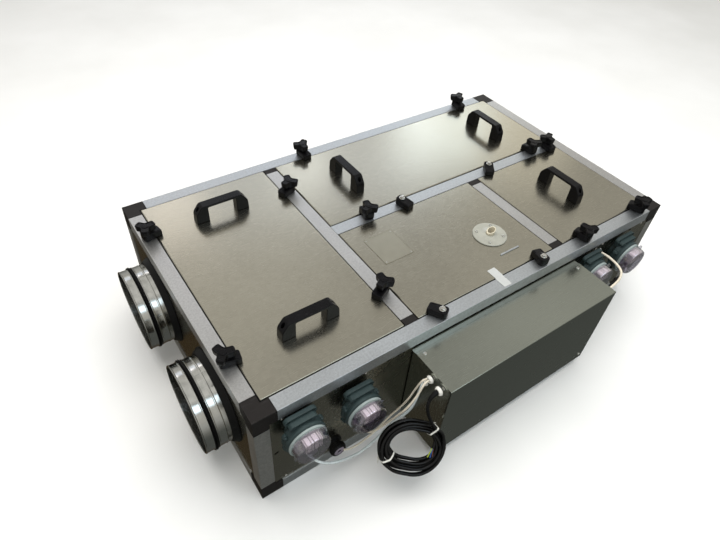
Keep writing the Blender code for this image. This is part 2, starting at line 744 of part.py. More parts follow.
def make_fan(name, x, y, flow):
    """Inlet plate with its ring, and a motorised impeller that turns about X."""
    half = FAN_WIDTH / 2
    plate_x = x + flow * (half + 0.015)
    half_plate = 0.125
    thick = 0.003
    low = at(plate_x - thick / 2, y - half_plate, INSIDE_LOW)
    high = at(plate_x + thick / 2, y + half_plate, INSIDE_HIGH)
    inlet = box(name + "_inlet_plate", low, high, GALVANISED)
    cut(inlet, rod_cutter(name + "_inlet", at(plate_x, y, FAN_Z), FAN_INLET, 0.02, (1, 0, 0)))
    wheel = as_mesh(plate(name + "_impeller", [wheel_outline()], FAN_WIDTH, BLACK_PLASTIC))
    wheel.rotation_euler = (0, flow * math.pi / 2, 0)
    wheel.location = at(x, y, FAN_Z)
    disc = cutter(name + "_disc", rod_mesh(name + "_disc", FAN_RADIUS, 0.003, 32))
    disc.parent = wheel
    disc.location = (0, 0, -half)
    cut(wheel, disc, "UNION")
    motor = cutter(name + "_motor", rod_mesh(name + "_motor", MOTOR_RADIUS, half, 24))
    motor.parent = wheel
    motor.location = (0, 0, -half - 0.010)
    cut(wheel, motor, "UNION")


def make_filter(name, x, y):
    """Pleated filter block standing across its chamber."""
    paper = 0.003
    front = []
    back = []
    for i in range(2 * FILTER_PLEATS + 1):
        across = FILTER_WIDTH * (i / (2 * FILTER_PLEATS) - 0.5)
        ridge = FILTER_DEPTH / 2 if i % 2 else -FILTER_DEPTH / 2
        front.append((ridge - paper, across))
        back.append((ridge + paper, across))
    block = plate(name, [front + back[::-1]], INSIDE_HIGH - INSIDE_LOW, PAPER)
    block.location = at(x, y, (INSIDE_LOW + INSIDE_HIGH) / 2)


make_frame()
make_dividers()
make_service_panels()
make_side_panels()
make_spigots()
make_handles()
make_clamps()
make_drain()
make_switches()
make_control_box()
make_power_cord()
make_sensor_cables()
make_exchanger()
for name, (x, y, flow) in FANS.items():
    make_fan(name, x, y, flow)
for name, (x, y) in FILTERS.items():
    make_filter(name, x, y)
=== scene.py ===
"""Looks of a suspended heat recovery unit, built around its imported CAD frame.

Metres, +Z up. at(x, y, z) takes places measured from the casing's front, left,
bottom corner, as part.py does. Shapes are small bmesh builders that are gathered
into one mesh for each real piece.
"""
import json
import math

import bmesh
import bpy
from mathutils import Euler, Matrix, Vector

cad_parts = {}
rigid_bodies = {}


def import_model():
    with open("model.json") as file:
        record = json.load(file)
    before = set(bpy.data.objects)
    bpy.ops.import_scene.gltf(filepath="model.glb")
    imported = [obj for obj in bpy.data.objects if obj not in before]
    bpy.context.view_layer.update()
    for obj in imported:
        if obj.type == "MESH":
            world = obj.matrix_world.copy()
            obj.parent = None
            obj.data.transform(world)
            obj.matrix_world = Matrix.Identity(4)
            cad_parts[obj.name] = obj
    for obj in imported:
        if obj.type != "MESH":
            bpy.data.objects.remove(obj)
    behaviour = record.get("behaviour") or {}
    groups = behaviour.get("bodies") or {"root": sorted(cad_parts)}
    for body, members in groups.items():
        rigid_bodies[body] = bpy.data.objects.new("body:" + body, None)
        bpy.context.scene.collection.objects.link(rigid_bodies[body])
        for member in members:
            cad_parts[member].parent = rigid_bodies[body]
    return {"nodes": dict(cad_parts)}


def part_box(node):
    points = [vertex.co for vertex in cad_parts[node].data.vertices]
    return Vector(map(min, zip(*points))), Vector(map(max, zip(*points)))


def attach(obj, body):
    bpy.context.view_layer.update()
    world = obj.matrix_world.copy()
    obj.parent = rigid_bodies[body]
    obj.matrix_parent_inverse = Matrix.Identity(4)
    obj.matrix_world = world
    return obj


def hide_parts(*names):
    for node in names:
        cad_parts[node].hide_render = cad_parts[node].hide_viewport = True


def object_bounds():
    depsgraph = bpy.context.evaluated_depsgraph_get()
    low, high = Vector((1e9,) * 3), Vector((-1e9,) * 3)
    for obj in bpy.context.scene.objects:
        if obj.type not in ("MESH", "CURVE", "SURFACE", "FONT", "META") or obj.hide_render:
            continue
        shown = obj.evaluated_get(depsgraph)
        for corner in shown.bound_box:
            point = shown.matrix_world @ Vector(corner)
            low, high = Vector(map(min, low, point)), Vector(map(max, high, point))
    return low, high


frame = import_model()
CAD_LOW, CAD_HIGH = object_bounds()

# ---- sizes taken from the frame ------------
CORNER, FAR_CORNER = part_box("frame")
LENGTH, DEPTH, HEIGHT = FAR_CORNER - CORNER
PANEL_LOW, PANEL_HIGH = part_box("service_panel_left")
SEAL = 0.003                # gap round a service panel, filled by its gasket
RAIL = PANEL_LOW.x - CORNER.x - SEAL
GAP = 0.0003                # between pieces that would touch
RAIL_WALL = 0.006
CORNER_ARM = 0.051          # reach of a corner connector along X and Y
CORNER_DROP = 0.047         # and along Z
SHEET = 0.0012              # thickness of the folded panels
CASING = "casing"
TOP = HEIGHT + 0.0015       # the upper face of the service panels


def at(x, y, z):
    """Turn a place measured from the casing's front, left, bottom corner into a place."""
    return Vector((CORNER.x + x, CORNER.y + y, CORNER.z + z))


# ---- camera ------------
CAMERA_PLACE = (-0.7797, -0.8339, 1.2012)
CAMERA_TURN = (44.963, -3.480, -34.520)     # degrees about X, Y and Z
CAMERA_LENS = 27.70                         # on a 36 mm wide sensor


def make_camera():
    data = bpy.data.cameras.new("camera")
    data.lens = CAMERA_LENS
    data.sensor_width = 36.0
    data.clip_start = 0.01
    made = bpy.data.objects.new("camera", data)
    made.location = CAMERA_PLACE
    made.rotation_euler = Euler([math.radians(a) for a in CAMERA_TURN])
    bpy.context.scene.collection.objects.link(made)
    bpy.context.scene.camera = made


# ---- material nodes ------------
class Nodes:
    """The node tree of a material or a world, with short calls for the nodes used here."""

    def __init__(self, owner, coordinates="Object"):
        owner.use_nodes = True
        self.owner = owner
        self.tree = owner.node_tree
        self.place = self.add("ShaderNodeTexCoord").outputs[coordinates]

    def add(self, kind, inputs=None, **settings):
        node = self.tree.nodes.new(kind)
        for key, value in settings.items():
            setattr(node, key, value)
        for key, value in (inputs or {}).items():
            if isinstance(value, bpy.types.NodeSocket):
                self.tree.links.new(value, node.inputs[key])
            else:
                node.inputs[key].default_value = value
        return node

    def stretched(self, scale, turn=(0, 0, 0)):
        mapping = self.add("ShaderNodeMapping", {"Vector": self.place, "Scale": scale})
        mapping.inputs["Rotation"].default_value = [math.radians(a) for a in turn]
        return mapping.outputs["Vector"]

    def noise(self, scale, detail=4.0, roughness=0.55, vector=None):
        inputs = {"Vector": vector or self.place, "Scale": scale, "Detail": detail,
                  "Roughness": roughness}
        return self.add("ShaderNodeTexNoise", inputs).outputs["Fac"]

    def spread(self, value, low, high, to_low, to_high):
        inputs = {0: value, 1: low, 2: high, 3: to_low, 4: to_high}
        return self.add("ShaderNodeMapRange", inputs).outputs[0]

    def math(self, operation, a, b):
        return self.add("ShaderNodeMath", {0: a, 1: b}, operation=operation).outputs[0]

    def colours(self, value, stops):
        ramp = self.add("ShaderNodeValToRGB", {"Fac": value})
        points = ramp.color_ramp.elements
        while len(points) < len(stops):
            points.new(0.5)
        for point, (place, colour) in zip(points, stops):
            point.position = place
            point.color = (*colour, 1.0)
        return ramp.outputs["Color"]

    def mixed(self, share, first, second, blend="MIX"):
        node = self.add("ShaderNodeMix", data_type="RGBA", blend_type=blend)
        for index, value in ((0, share), (6, first), (7, second)):
            if isinstance(value, bpy.types.NodeSocket):
                self.tree.links.new(value, node.inputs[index])
            elif index:
                node.inputs[index].default_value = (*value, 1.0)
            else:
                node.inputs[index].default_value = value
        return node.outputs[2]

    def shaded(self, colour, level, share=1.0):
        """The colour times a grey level, by a share."""
        grey = self.add("ShaderNodeCombineColor", {0: level, 1: level, 2: level}).outputs[0]
        return self.mixed(share, colour, grey, "MULTIPLY")

    def bump(self, height, distance, strength=1.0, under=None):
        inputs = {"Height": height, "Distance": distance, "Strength": strength}
        if under is not None:
            inputs["Normal"] = under
        return self.add("ShaderNodeBump", inputs).outputs["Normal"]

    def set(self, **inputs):
        names = {"colour": "Base Color", "rough": "Roughness", "metal": "Metallic",
                 "normal": "Normal", "specular": "Specular IOR Level", "coat": "Coat Weight",
                 "coat_rough": "Coat Roughness", "aniso": "Anisotropic"}
        for key, value in inputs.items():
            socket = self.tree.nodes["Principled BSDF"].inputs[names[key]]
            if isinstance(value, bpy.types.NodeSocket):
                self.tree.links.new(value, socket)
            elif isinstance(value, tuple):
                socket.default_value = (*value, 1.0)
            else:
                socket.default_value = value
        return self.owner


def in_slot(material):
    """Return the material as it is; no slot is recorded."""
    return material


def tinted(colour, factor):
    return tuple(channel * factor for channel in colour)


def galvanised(name, colour, rough, wave, flakes=0.028):
    """Zinc-coated sheet: spangle, rolling grain, faint stains and a slight wave."""
    n = Nodes(bpy.data.materials.new(name))
    cells = n.add("ShaderNodeTexVoronoi", {"Vector": n.place, "Scale": 130.0}, feature="F1")
    flake = n.add("ShaderNodeSeparateColor", {"Color": cells.outputs["Color"]}).outputs[0]
    stains = n.noise(5.0, 5.0, 0.62)
    grain = n.noise(1.0, 3.0, 0.6, n.stretched((26, 900, 900)))
    scratches = n.noise(1.0, 2.0, 0.5, n.stretched((30, 1400, 60), (0, 0, 37)))
    tone = n.colours(stains, [(0.28, tinted(colour, 0.965)), (0.52, colour),
                              (0.78, tinted(colour, 1.03))])
    speck = n.spread(flake, 0.0, 1.0, 1.0 - flakes, 1.0 + flakes)
    level = n.math("MULTIPLY", speck, n.spread(grain, 0.3, 0.7, 0.97, 1.03))
    tone = n.shaded(tone, level)
    wear = n.spread(scratches, 0.66, 0.74, 0.0, 0.12)
    rough_map = n.math("ADD", n.spread(stains, 0.25, 0.8, rough - 0.012, rough + 0.03),
                       n.spread(flake, 0.0, 1.0, -0.010, 0.015))
    rough_map = n.math("ADD", rough_map, wear)
    soft = n.bump(n.noise(3.2, 1.0, 0.4), wave)
    fine = n.bump(grain, 0.00001, 0.10, soft)
    return in_slot(n.set(colour=tone, rough=rough_map, metal=1.0, normal=fine))


def aluminium(name, along, colour=(0.745, 0.75, 0.76)):
    """Mill-finish section, drawn along one axis: fine lines and a dull speckle."""
    n = Nodes(bpy.data.materials.new(name))
    scale = [1500.0] * 3
    scale[along] = 14.0
    lines = n.noise(1.0, 4.0, 0.65, n.stretched(scale))
    speck = n.noise(230.0, 3.0, 0.7)
    dull = n.noise(9.0, 4.0, 0.6)
    tone = n.colours(dull, [(0.3, tinted(colour, 0.90)), (0.7, colour)])
    level = n.math("MULTIPLY", n.spread(lines, 0.3, 0.7, 0.92, 1.04),
                   n.spread(speck, 0.35, 0.65, 0.86, 1.06))
    tone = n.shaded(tone, level)
    rough = n.math("ADD", n.spread(lines, 0.3, 0.7, 0.40, 0.50),
                   n.spread(dull, 0.3, 0.7, -0.03, 0.05))
    fine = n.bump(n.math("ADD", lines, speck), 0.00003, 0.6)
    return in_slot(n.set(colour=tone, rough=rough, metal=1.0, normal=fine))


def moulded(name, colour, rough, grain=700.0, depth=0.00006, wear=0.35, specular=0.5):
    """Moulded plastic or rubber: a fine skin, handling marks and faint pale scuffs."""
    n = Nodes(bpy.data.materials.new(name))
    skin = n.noise(grain, 3.0, 0.6)
    marks = n.noise(34.0, 5.0, 0.65)
    scuffs = n.noise(1.0, 3.0, 0.6, n.stretched((40, 260, 120), (20, 10, 33)))
    worn = n.spread(scuffs, 0.60, 0.74, 0.0, wear)
    pale = tuple(channel + (1.0 - channel) * 0.06 for channel in colour)
    tone = n.colours(marks, [(0.3, tinted(colour, 0.88)), (0.7, tinted(colour, 1.12))])
    tone = n.mixed(worn, tone, pale)
    rough_map = n.math("ADD", n.spread(marks, 0.3, 0.7, rough - 0.06, rough + 0.06),
                       n.spread(skin, 0.3, 0.7, -0.03, 0.03))
    return in_slot(n.set(colour=tone, rough=rough_map, metal=0.0, specular=specular,
                               normal=n.bump(skin, depth)))


def zinc():
    """Zinc-plated steel of the screws and bolts."""
    n = Nodes(bpy.data.materials.new("zinc_plated_steel"))
    marks = n.noise(160.0, 4.0, 0.6)
    turned_lines = n.noise(1.0, 2.0, 0.5, n.stretched((900, 900, 60)))
    tone = n.colours(marks, [(0.3, (0.62, 0.61, 0.57)), (0.7, (0.84, 0.83, 0.79))])
    rough = n.math("ADD", n.spread(marks, 0.3, 0.7, 0.22, 0.36),
                   n.spread(turned_lines, 0.3, 0.7, -0.03, 0.03))
    return in_slot(n.set(colour=tone, rough=rough, metal=1.0,
                                           normal=n.bump(turned_lines, 0.00003)))


def sheath():
    """Glossy black mains cable."""
    n = Nodes(bpy.data.materials.new("cable_sheath"))
    marks = n.noise(60.0, 5.0, 0.6)
    skin = n.noise(900.0, 2.0, 0.5)
    tone = n.colours(marks, [(0.3, (0.0016, 0.0016, 0.0018)), (0.75, (0.0042, 0.0040, 0.0042))])
    rough = n.spread(marks, 0.3, 0.75, 0.12, 0.22)
    return in_slot(n.set(colour=tone, rough=rough, metal=0.0, specular=0.28,
                                        coat=0.12, coat_rough=0.06, normal=n.bump(skin, 0.00002)))


def clear_cap():
    """Thin smoke-tinted polycarbonate: a clear wall with glossy, scuffed surfaces."""
    n = Nodes(bpy.data.materials.new("clear_polycarbonate"))
    scuffs = n.noise(90.0, 4.0, 0.6)
    flow = n.noise(1.0, 2.0, 0.5, n.stretched((260, 40, 260)))
    normal = n.bump(flow, 0.00012)
    rough = n.spread(scuffs, 0.35, 0.75, 0.04, 0.16)
    tint = n.colours(scuffs, [(0.3, (0.86, 0.84, 0.89)), (0.75, (0.93, 0.92, 0.95))])
    through = n.add("ShaderNodeBsdfTransparent", {"Color": tint})
    gloss = n.add("ShaderNodeBsdfGlossy", {"Color": (1, 1, 1, 1), "Roughness": rough,
                                           "Normal": normal})
    facing = n.add("ShaderNodeLayerWeight", {"Blend": 0.35, "Normal": normal}).outputs["Facing"]
    rim = n.spread(facing, 0.0, 1.0, 0.10, 0.75)
    both = n.add("ShaderNodeMixShader", {0: rim, 1: through.outputs[0], 2: gloss.outputs[0]})
    n.tree.links.new(both.outputs[0], n.tree.nodes["Material Output"].inputs["Surface"])
    return in_slot(n.owner)


def film(name, colour, metal=0.0):
    """Printed film of a label, blank: faint fibres, scuffs and handling marks."""
    n = Nodes(bpy.data.materials.new(name))
    fibres = n.noise(1300.0, 3.0, 0.6)
    marks = n.noise(48.0, 5.0, 0.65)
    tone = n.colours(marks, [(0.3, tinted(colour, 0.93)), (0.7, colour)])
    return in_slot(n.set(colour=tone, rough=n.spread(marks, 0.3, 0.7, 0.28, 0.42),
                                  metal=metal, normal=n.bump(fibres, 0.00002)))


def fleece():
    n = Nodes(bpy.data.materials.new("filter_fleece"))
    fibres = n.noise(1.0, 6.0, 0.7, n.stretched((1600, 1600, 500)))
    dust = n.noise(22.0, 5.0, 0.6)
    tone = n.colours(dust, [(0.3, (0.60, 0.62, 0.61)), (0.7, (0.86, 0.88, 0.87))])
    return in_slot(n.set(colour=tone, rough=n.spread(fibres, 0.3, 0.7, 0.85, 0.98),
                                          metal=0.0, normal=n.bump(fibres, 0.0004)))


def floor_finish():
    n = Nodes(bpy.data.materials.new("studio_floor"))
    mottle = n.noise(2.5, 4.0, 0.5)
    tone = n.colours(mottle, [(0.3, (0.80, 0.80, 0.79)), (0.7, (0.86, 0.86, 0.855))])
    return n.set(colour=tone, rough=0.75, metal=0.0, specular=0.1,
                 normal=n.bump(n.noise(300.0), 0.0001))


TOP_SHEET = galvanised("galvanised_top", (0.50, 0.475, 0.395), 0.24, 0.0006)
# The upright and bottom panels take a darker, browner copy of the top sheet: painted shade, for the same
# zinc sheet where its sides face a darker room.
SHADED_SIDE_SHEET = galvanised("galvanised_side_painted_shade", (0.36, 0.34, 0.275), 0.26, 0.0012)
BOX_SHEET = galvanised("galvanised_box", (0.375, 0.395, 0.345), 0.22, 0.0010, 0.02)
DUCT_SHEET = galvanised("galvanised_duct", (0.62, 0.62, 0.59), 0.15, 0.0003)
# One colour for the rails along each axis of the same aluminium: those along X are tinted blue, a painted
# reflection of the sky; the uprights along Z are a little darker and warmer.
RAIL_COLOURS_WITH_PAINTED_SKY = ((0.74, 0.77, 0.80), (0.75, 0.745, 0.74), (0.72, 0.71, 0.69))
ALUMINIUM = [aluminium("aluminium_along_" + "xyz"[axis], axis, colour)
             for axis, colour in enumerate(RAIL_COLOURS_WITH_PAINTED_SKY)]
BLACK = moulded("black_nylon", (0.0030, 0.0028, 0.0034), 0.30, wear=0.15, specular=0.17)
CORNER_BLACK = moulded("black_corner", (0.0105, 0.0088, 0.0082), 0.45, wear=0.2,
                       specular=0.25)
GREY = moulded("grey_switch_body", (0.024, 0.039, 0.040), 0.40, wear=0.2, specular=0.35)
PALE_GREY = moulded("grey_switch_ring", (0.25, 0.295, 0.29), 0.34, wear=0.2)
FLANGE = moulded("clear_grey_flange", (0.31, 0.31, 0.27), 0.16, wear=0.2)
WHITE = moulded("white_nylon", (0.72, 0.71, 0.66), 0.36, wear=0.1)
SENSOR_SHEATH = moulded("cream_cable_sheath", (0.68, 0.62, 0.51), 0.34, wear=0.1)
TUBE = moulded("pale_tube", (0.60, 0.66, 0.67), 0.26, wear=0.1)
HUB = moulded("ivory_hub", (0.56, 0.51, 0.39), 0.40, wear=0.1)
RUBBER = moulded("black_epdm", (0.0035, 0.0035, 0.0035), 0.45, 500.0, 0.0001, 0.1, 0.2)
ZINC = zinc()
SHEATH = sheath()
CLEAR = clear_cap()
FILM = film("label_film", (0.43, 0.44, 0.43))
DULL_FILM = film("rating_plate_film", (0.49, 0.465, 0.38), 1.0)
FLEECE = fleece()
CORE_BROWN = moulded("core_brown", (0.10, 0.035, 0.015), 0.35, wear=0.1)
CORE_BLUE = moulded("core_blue", (0.02, 0.07, 0.28), 0.35, wear=0.1)
CORE_GREEN = moulded("core_green_yellow", (0.30, 0.38, 0.03), 0.35, wear=0.1)
MECHANISM = moulded("switch_mechanism", (0.88, 0.80, 0.78), 0.30, wear=0.2)
DECK = moulded("switch_deck", (0.235, 0.20, 0.245), 0.30, wear=0.3)
FILM_BOARD = moulded("filter_board", (0.58, 0.56, 0.50), 0.7, wear=0.1)
PLATES = aluminium("exchanger_plate_finish", 0)


# ---- shapes ------------
def around(radius, sides):
    """Points evenly spaced round a circle, the first on X."""
    return [(radius * math.cos(math.tau * i / sides), radius * math.sin(math.tau * i / sides))
            for i in range(sides)]


def around_line(point, across, third, radius, sides):
    """The same in space, on the plane of two axes."""
    return [point + (across * math.cos(math.tau * k / sides)
                     + third * math.sin(math.tau * k / sides)) * radius for k in range(sides)]


TO_FRONT = Matrix.Rotation(math.pi / 2, 4, "X")     # local Z turned to face the front


def about_z(degrees):
    return Matrix.Rotation(math.radians(degrees), 4, "Z")


def shell(rings, closed=False):
    """Skin a list of rings, with end caps or closed round; a ring of one point is a tip."""
    grid = bmesh.new()
    rows = [[grid.verts.new(point) for point in ring] for ring in rings]
    pairs = list(zip(rows, rows[1:]))
    if closed:
        pairs.append((rows[-1], rows[0]))
    for first, second in pairs:
        count = max(len(first), len(second))
        for i in range(count):
            j = (i + 1) % count
            corners = [first[i % len(first)], first[j % len(first)],
                       second[j % len(second)], second[i % len(second)]]
            corners = list(dict.fromkeys(corners))
            if len(corners) > 2:
                grid.faces.new(corners)
    if not closed:
        for row in (rows[0], rows[-1]):
            if len(row) > 2:
                grid.faces.new(row)
    bmesh.ops.recalc_face_normals(grid, faces=grid.faces)
    return grid


def eased(points, radius, closed=True, steps=4):
    """Round the corners of a line of 2D points; radius is one value or one for each."""
    points = [Vector(point) for point in points]
    count = len(points)
    radii = radius if isinstance(radius, (list, tuple)) else [radius] * count
    made = []
    for i, point in enumerate(points):
        if radii[i] <= 0 or (not closed and i in (0, count - 1)):
            made.append(point)
            continue
        before = points[i - 1] - point
        after = points[(i + 1) % count] - point
        start = point + before.normalized() * min(radii[i], before.length * 0.49)
        end = point + after.normalized() * min(radii[i], after.length * 0.49)
        for step in range(steps + 1):
            t = step / steps
            made.append(start * (1 - t) ** 2 + point * 2 * t * (1 - t) + end * t ** 2)
    return made


def scaled(outline, factor):
    return [(point[0] * factor, point[1] * factor) for point in outline]


def lathe(profile, steps=64, closed=False):
    """Turn (radius, height) points about Z."""
    tip = 1e-6
    rings = [[(x, y, height) for x, y in around(radius, steps)] if radius > tip else [(0.0, 0.0, height)]
             for radius, height in profile]
    return shell(rings, closed)


def turned(points, radii, steps=64, closed=False):
    """Turn (radius, height) points about Z, with their corners rounded."""
    return lathe(eased(points, radii), steps, closed)


def prism(outline, low, high, edge=0.0, segments=2):
    """Extrude a closed XY outline along Z, with its two rims rounded."""
    grid = shell([[(x, y, low) for x, y in outline], [(x, y, high) for x, y in outline]])
    if edge:
        rims = [e for e in grid.edges if abs(e.verts[0].co.z - e.verts[1].co.z) < 1e-7]
        bmesh.ops.bevel(grid, geom=rims, offset=edge, segments=segments, profile=0.5,
                        affect="EDGES", clamp_overlap=True)
    return grid


def box(low, high, edge=0.0, segments=2):
    low, high = Vector(low), Vector(high)
    grid = bmesh.new()
    bmesh.ops.create_cube(grid, size=1.0)
    bmesh.ops.scale(grid, vec=high - low, verts=grid.verts)
    bmesh.ops.translate(grid, vec=(low + high) / 2, verts=grid.verts)
    if edge:
        bmesh.ops.bevel(grid, geom=list(grid.edges), offset=edge, segments=segments,
                        profile=0.5, affect="EDGES", clamp_overlap=True)
    return grid


def pipe(points, radius, sides):
    """A round tube through the points, its rings turned as little as possible."""
    rings = []
    across = None
    for i, point in enumerate(points):
        along = (points[min(i + 1, len(points) - 1)] - points[max(i - 1, 0)]).normalized()
        if across is None:
            across = along.orthogonal().normalized()
        across = (across - along * across.dot(along)).normalized()
        rings.append(around_line(point, across, along.cross(across), radius, sides))
    return shell(rings)


def put(shape, matrix):
    bmesh.ops.transform(shape, matrix=matrix, verts=shape.verts)
    if matrix.determinant() < 0:
        bmesh.ops.reverse_faces(shape, faces=shape.faces)
    return shape


def moved(shape, x, y, z):
    return put(shape, Matrix.Translation((x, y, z)))


def gather(*shapes):
    """One bmesh that holds all the shapes."""
    whole = bmesh.new()
    for shape in shapes:
        mesh = bpy.data.meshes.new("part")
        shape.to_mesh(mesh)
        shape.free()
        whole.from_mesh(mesh)
        bpy.data.meshes.remove(mesh)
    return whole


def carved(shape, *cutters):
    """The shape with the cutters taken out of it."""
    scene = bpy.context.scene.collection.objects
    made = []
    for grid in (shape, gather(*cutters)):
        mesh = bpy.data.meshes.new("carving")
        grid.to_mesh(mesh)
        grid.free()
        made.append(bpy.data.objects.new("carving", mesh))
        scene.link(made[-1])
    step = made[0].modifiers.new("cut", "BOOLEAN")
    step.operation = "DIFFERENCE"
    step.solver = "EXACT"
    step.object = made[1]
    bpy.context.view_layer.update()
    ready = made[0].evaluated_get(bpy.context.evaluated_depsgraph_get())
    result = bmesh.new()
    mesh = bpy.data.meshes.new_from_object(ready)
    result.from_mesh(mesh)
    for item in made:
        data = item.data
        bpy.data.objects.remove(item)
        bpy.data.meshes.remove(data)
    bpy.data.meshes.remove(mesh)
    return result


def mesh_of(name, shape, material, sharp=38):
    mesh = bpy.data.meshes.new(name)
    shape.to_mesh(mesh)
    shape.free()
    mesh.materials.append(material)
    mesh.shade_smooth()
    mesh.set_sharp_from_angle(angle=math.radians(sharp))
    return mesh


def piece(name, shape, material, body=CASING, replaces=(), matrix=None, sharp=38):
    """Link a finished piece: mesh or bmesh, material, body and replaced nodes."""
    mesh = shape if isinstance(shape, bpy.types.Mesh) else mesh_of(name, shape, material, sharp)
    made = bpy.data.objects.new(name, mesh)
    bpy.context.scene.collection.objects.link(made)
    if matrix is not None:
        made.matrix_world = matrix
    even = made.modifiers.new("normals", "WEIGHTED_NORMAL")
    even.keep_sharp = True
    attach(made, body)
    if replaces:
        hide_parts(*replaces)
    return made


def smooth_path(knots, spacing):
    """Points at an even spacing along a smooth curve through the knots."""
    knots = [Vector(knot) for knot in knots]
    ends = [2 * knots[0] - knots[1]] + knots + [2 * knots[-1] - knots[-2]]
    fine = []
    for i in range(len(knots) - 1):
        a, b, c, d = ends[i:i + 4]
        for step in range(20):
            t = step / 20
            fine.append(0.5 * (2 * b + (c - a) * t + (2 * a - 5 * b + 4 * c - d) * t ** 2
                               + (3 * b - a - 3 * c + d) * t ** 3))
    fine.append(knots[-1])
    length = sum((q - p).length for p, q in zip(fine, fine[1:]))
    count = max(2, round(length / spacing))
    path = [fine[0]]
    walked = 0.0
    for p, q in zip(fine, fine[1:]):
        stretch = (q - p).length
        while len(path) < count and walked + stretch >= len(path) * length / count:
            path.append(p.lerp(q, (len(path) * length / count - walked) / stretch))
        walked += stretch
    path.append(fine[-1])
    return path


def outward(side_x, place, side_y=-1):
    """A frame on the casing: local Z points out of the side, local Y up. Side 0 is front or back."""
    up = Vector((0, 0, 1))
    out = Vector((side_x, 0 if side_x else side_y, 0))
    return Matrix.Translation(place) @ Matrix((up.cross(out), up, out)).transposed().to_4x4()


# ---- cords ------------
CORD_RADIUS = 0.0035
GLAND_Y = -0.101
GLAND_Z = 0.254
GLAND_REACH = 0.017
BOX_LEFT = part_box("control_box")[0].x - CORNER.x
BOX_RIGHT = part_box("control_box")[1].x - CORNER.x
COIL_CENTRE = at(0.2929, -0.122, 0.1245)
COIL_LONG = Vector((0.7795, -0.5521, -0.2962)).normalized()
COIL_SHORT = Vector((0.5086, 0.2813, 0.8138)).normalized()
COIL_SIDE = COIL_LONG.cross(COIL_SHORT)
COIL_STRAIGHT = 0.010
COIL_BEND = 0.052
COIL_BUNDLE = 0.013
COIL_MEETS = math.radians(50)
COIL_JOIN = math.radians(50)
COIL_TURNS = 9
COIL_STEPS = 40         # points in a turn
COIL_LANE = 0.0096      # from the bundle's middle to the turns round it


def hank(along, out, side):
    """A place on the coil: along its stadium line, and off it outward and sideways."""
    quarter = math.pi * COIL_BEND / 2
    turn = 4 * COIL_STRAIGHT + 4 * quarter
    s = along % turn
    if s < quarter:
        angle = -s / COIL_BEND
        centre, radial = COIL_STRAIGHT, (math.cos(angle), math.sin(angle))
    elif s < quarter + 2 * COIL_STRAIGHT:
        centre, radial = COIL_STRAIGHT - (s - quarter), (0.0, -1.0)
    elif s < 3 * quarter + 2 * COIL_STRAIGHT:
        angle = -math.pi / 2 - (s - quarter - 2 * COIL_STRAIGHT) / COIL_BEND
        centre, radial = -COIL_STRAIGHT, (math.cos(angle), math.sin(angle))
    elif s < 3 * quarter + 4 * COIL_STRAIGHT:
        centre, radial = -COIL_STRAIGHT + s - 3 * quarter - 2 * COIL_STRAIGHT, (0.0, 1.0)
    else:
        angle = math.pi / 2 - (s - 3 * quarter - 4 * COIL_STRAIGHT) / COIL_BEND
        centre, radial = COIL_STRAIGHT, (math.cos(angle), math.sin(angle))
    reach = COIL_BEND + out
    return (COIL_CENTRE + COIL_LONG * (centre + radial[0] * reach)
            + COIL_SHORT * radial[1] * reach + COIL_SIDE * side)


COIL_TURN_LENGTH = 4 * COIL_STRAIGHT + math.tau * COIL_BEND


def wrapped(points, centre, along, reach, radius):
    """A tight ring round the turns that cross the plane at centre, and the plane's two axes."""
    across = along.cross(COIL_SIDE).normalized()
    third = along.cross(across).normalized()
    marks = []
    for point in points:
        offset = point - centre
        if abs(offset.dot(along)) < 0.0024 and offset.length < reach:
            u, v = offset.dot(across), offset.dot(third)
            marks += [(u + x, v + y) for x, y in around(radius, 12)]
    marks = sorted(set(marks))
    hull = []
    for line in (marks, marks[::-1]):
        half = []
        for mark in line:
            while len(half) > 1 and ((half[-1][0] - half[-2][0]) * (mark[1] - half[-2][1])
                                     - (half[-1][1] - half[-2][1]) * (mark[0] - half[-2][0])) <= 0:
                half.pop()
            half.append(mark)
        hull += half[:-1]
    return [centre + across * u + third * v for u, v in hull], across, third


def tie(name, points, place, aim, tail):
    """A cable tie round the coil, place metres along its turn, its head and tail at aim radians."""
    centre = hank(place, -0.004, 0.0)
    along = (hank(place + 0.002, -0.004, 0.0) - hank(place - 0.002, -0.004, 0.0)).normalized()
    ring, across, third = wrapped(points, centre, along, 0.034, CORD_RADIUS + 0.0001)
    wide, thick = 0.0036, 0.0011
    rings = []
    for point in ring:
        out = (point - centre).normalized()
        rings.append([point + along * wide / 2, point + along * wide / 2 + out * thick,
                      point - along * wide / 2 + out * thick, point - along * wide / 2])
    strap = shell(rings, closed=True)
    want = across * math.cos(aim) + third * math.sin(aim)
    middle = max(ring, key=lambda point: (point - centre).normalized().dot(want))
    out = (middle - centre).normalized()
    cross = along.cross(out)
    base = Matrix((cross, along, out)).transposed().to_4x4()
    base.translation = middle
    head = put(box((-0.003, -wide * 0.8, 0.0), (0.003, wide * 0.8, 0.0048), 0.0008), base)
    end = put(box((0.002, -wide / 2, 0.0016), (tail, wide / 2, 0.0027), 0.0003), base)
    return piece(name, gather(strap, head, end), WHITE)


def hoop(line, i, radius):
    """A ring of points round one point of a line."""
    along = (line[min(i + 1, len(line) - 1)] - line[max(i - 1, 0)]).normalized()
    across = along.cross(Vector((0, 1, 0))).normalized()
    return around_line(line[i], across, along.cross(across), radius, 24)


def lead(name, points, radius, material):
    """A cable as a curve of one open spline through the points."""
    curve = bpy.data.curves.new(name, "CURVE")
    curve.dimensions = "3D"
    curve.bevel_depth = radius
    curve.bevel_resolution = 4
    curve.use_fill_caps = True
    curve.materials.append(material)
    spline = curve.splines.new("POLY")
    spline.points.add(len(points) - 1)
    for point, place in zip(spline.points, points):
        point.co = (*place, 1.0)
        point.radius = 1.0
    made = bpy.data.objects.new(name, curve)
    bpy.context.scene.collection.objects.link(made)
    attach(made, CASING)
    return made


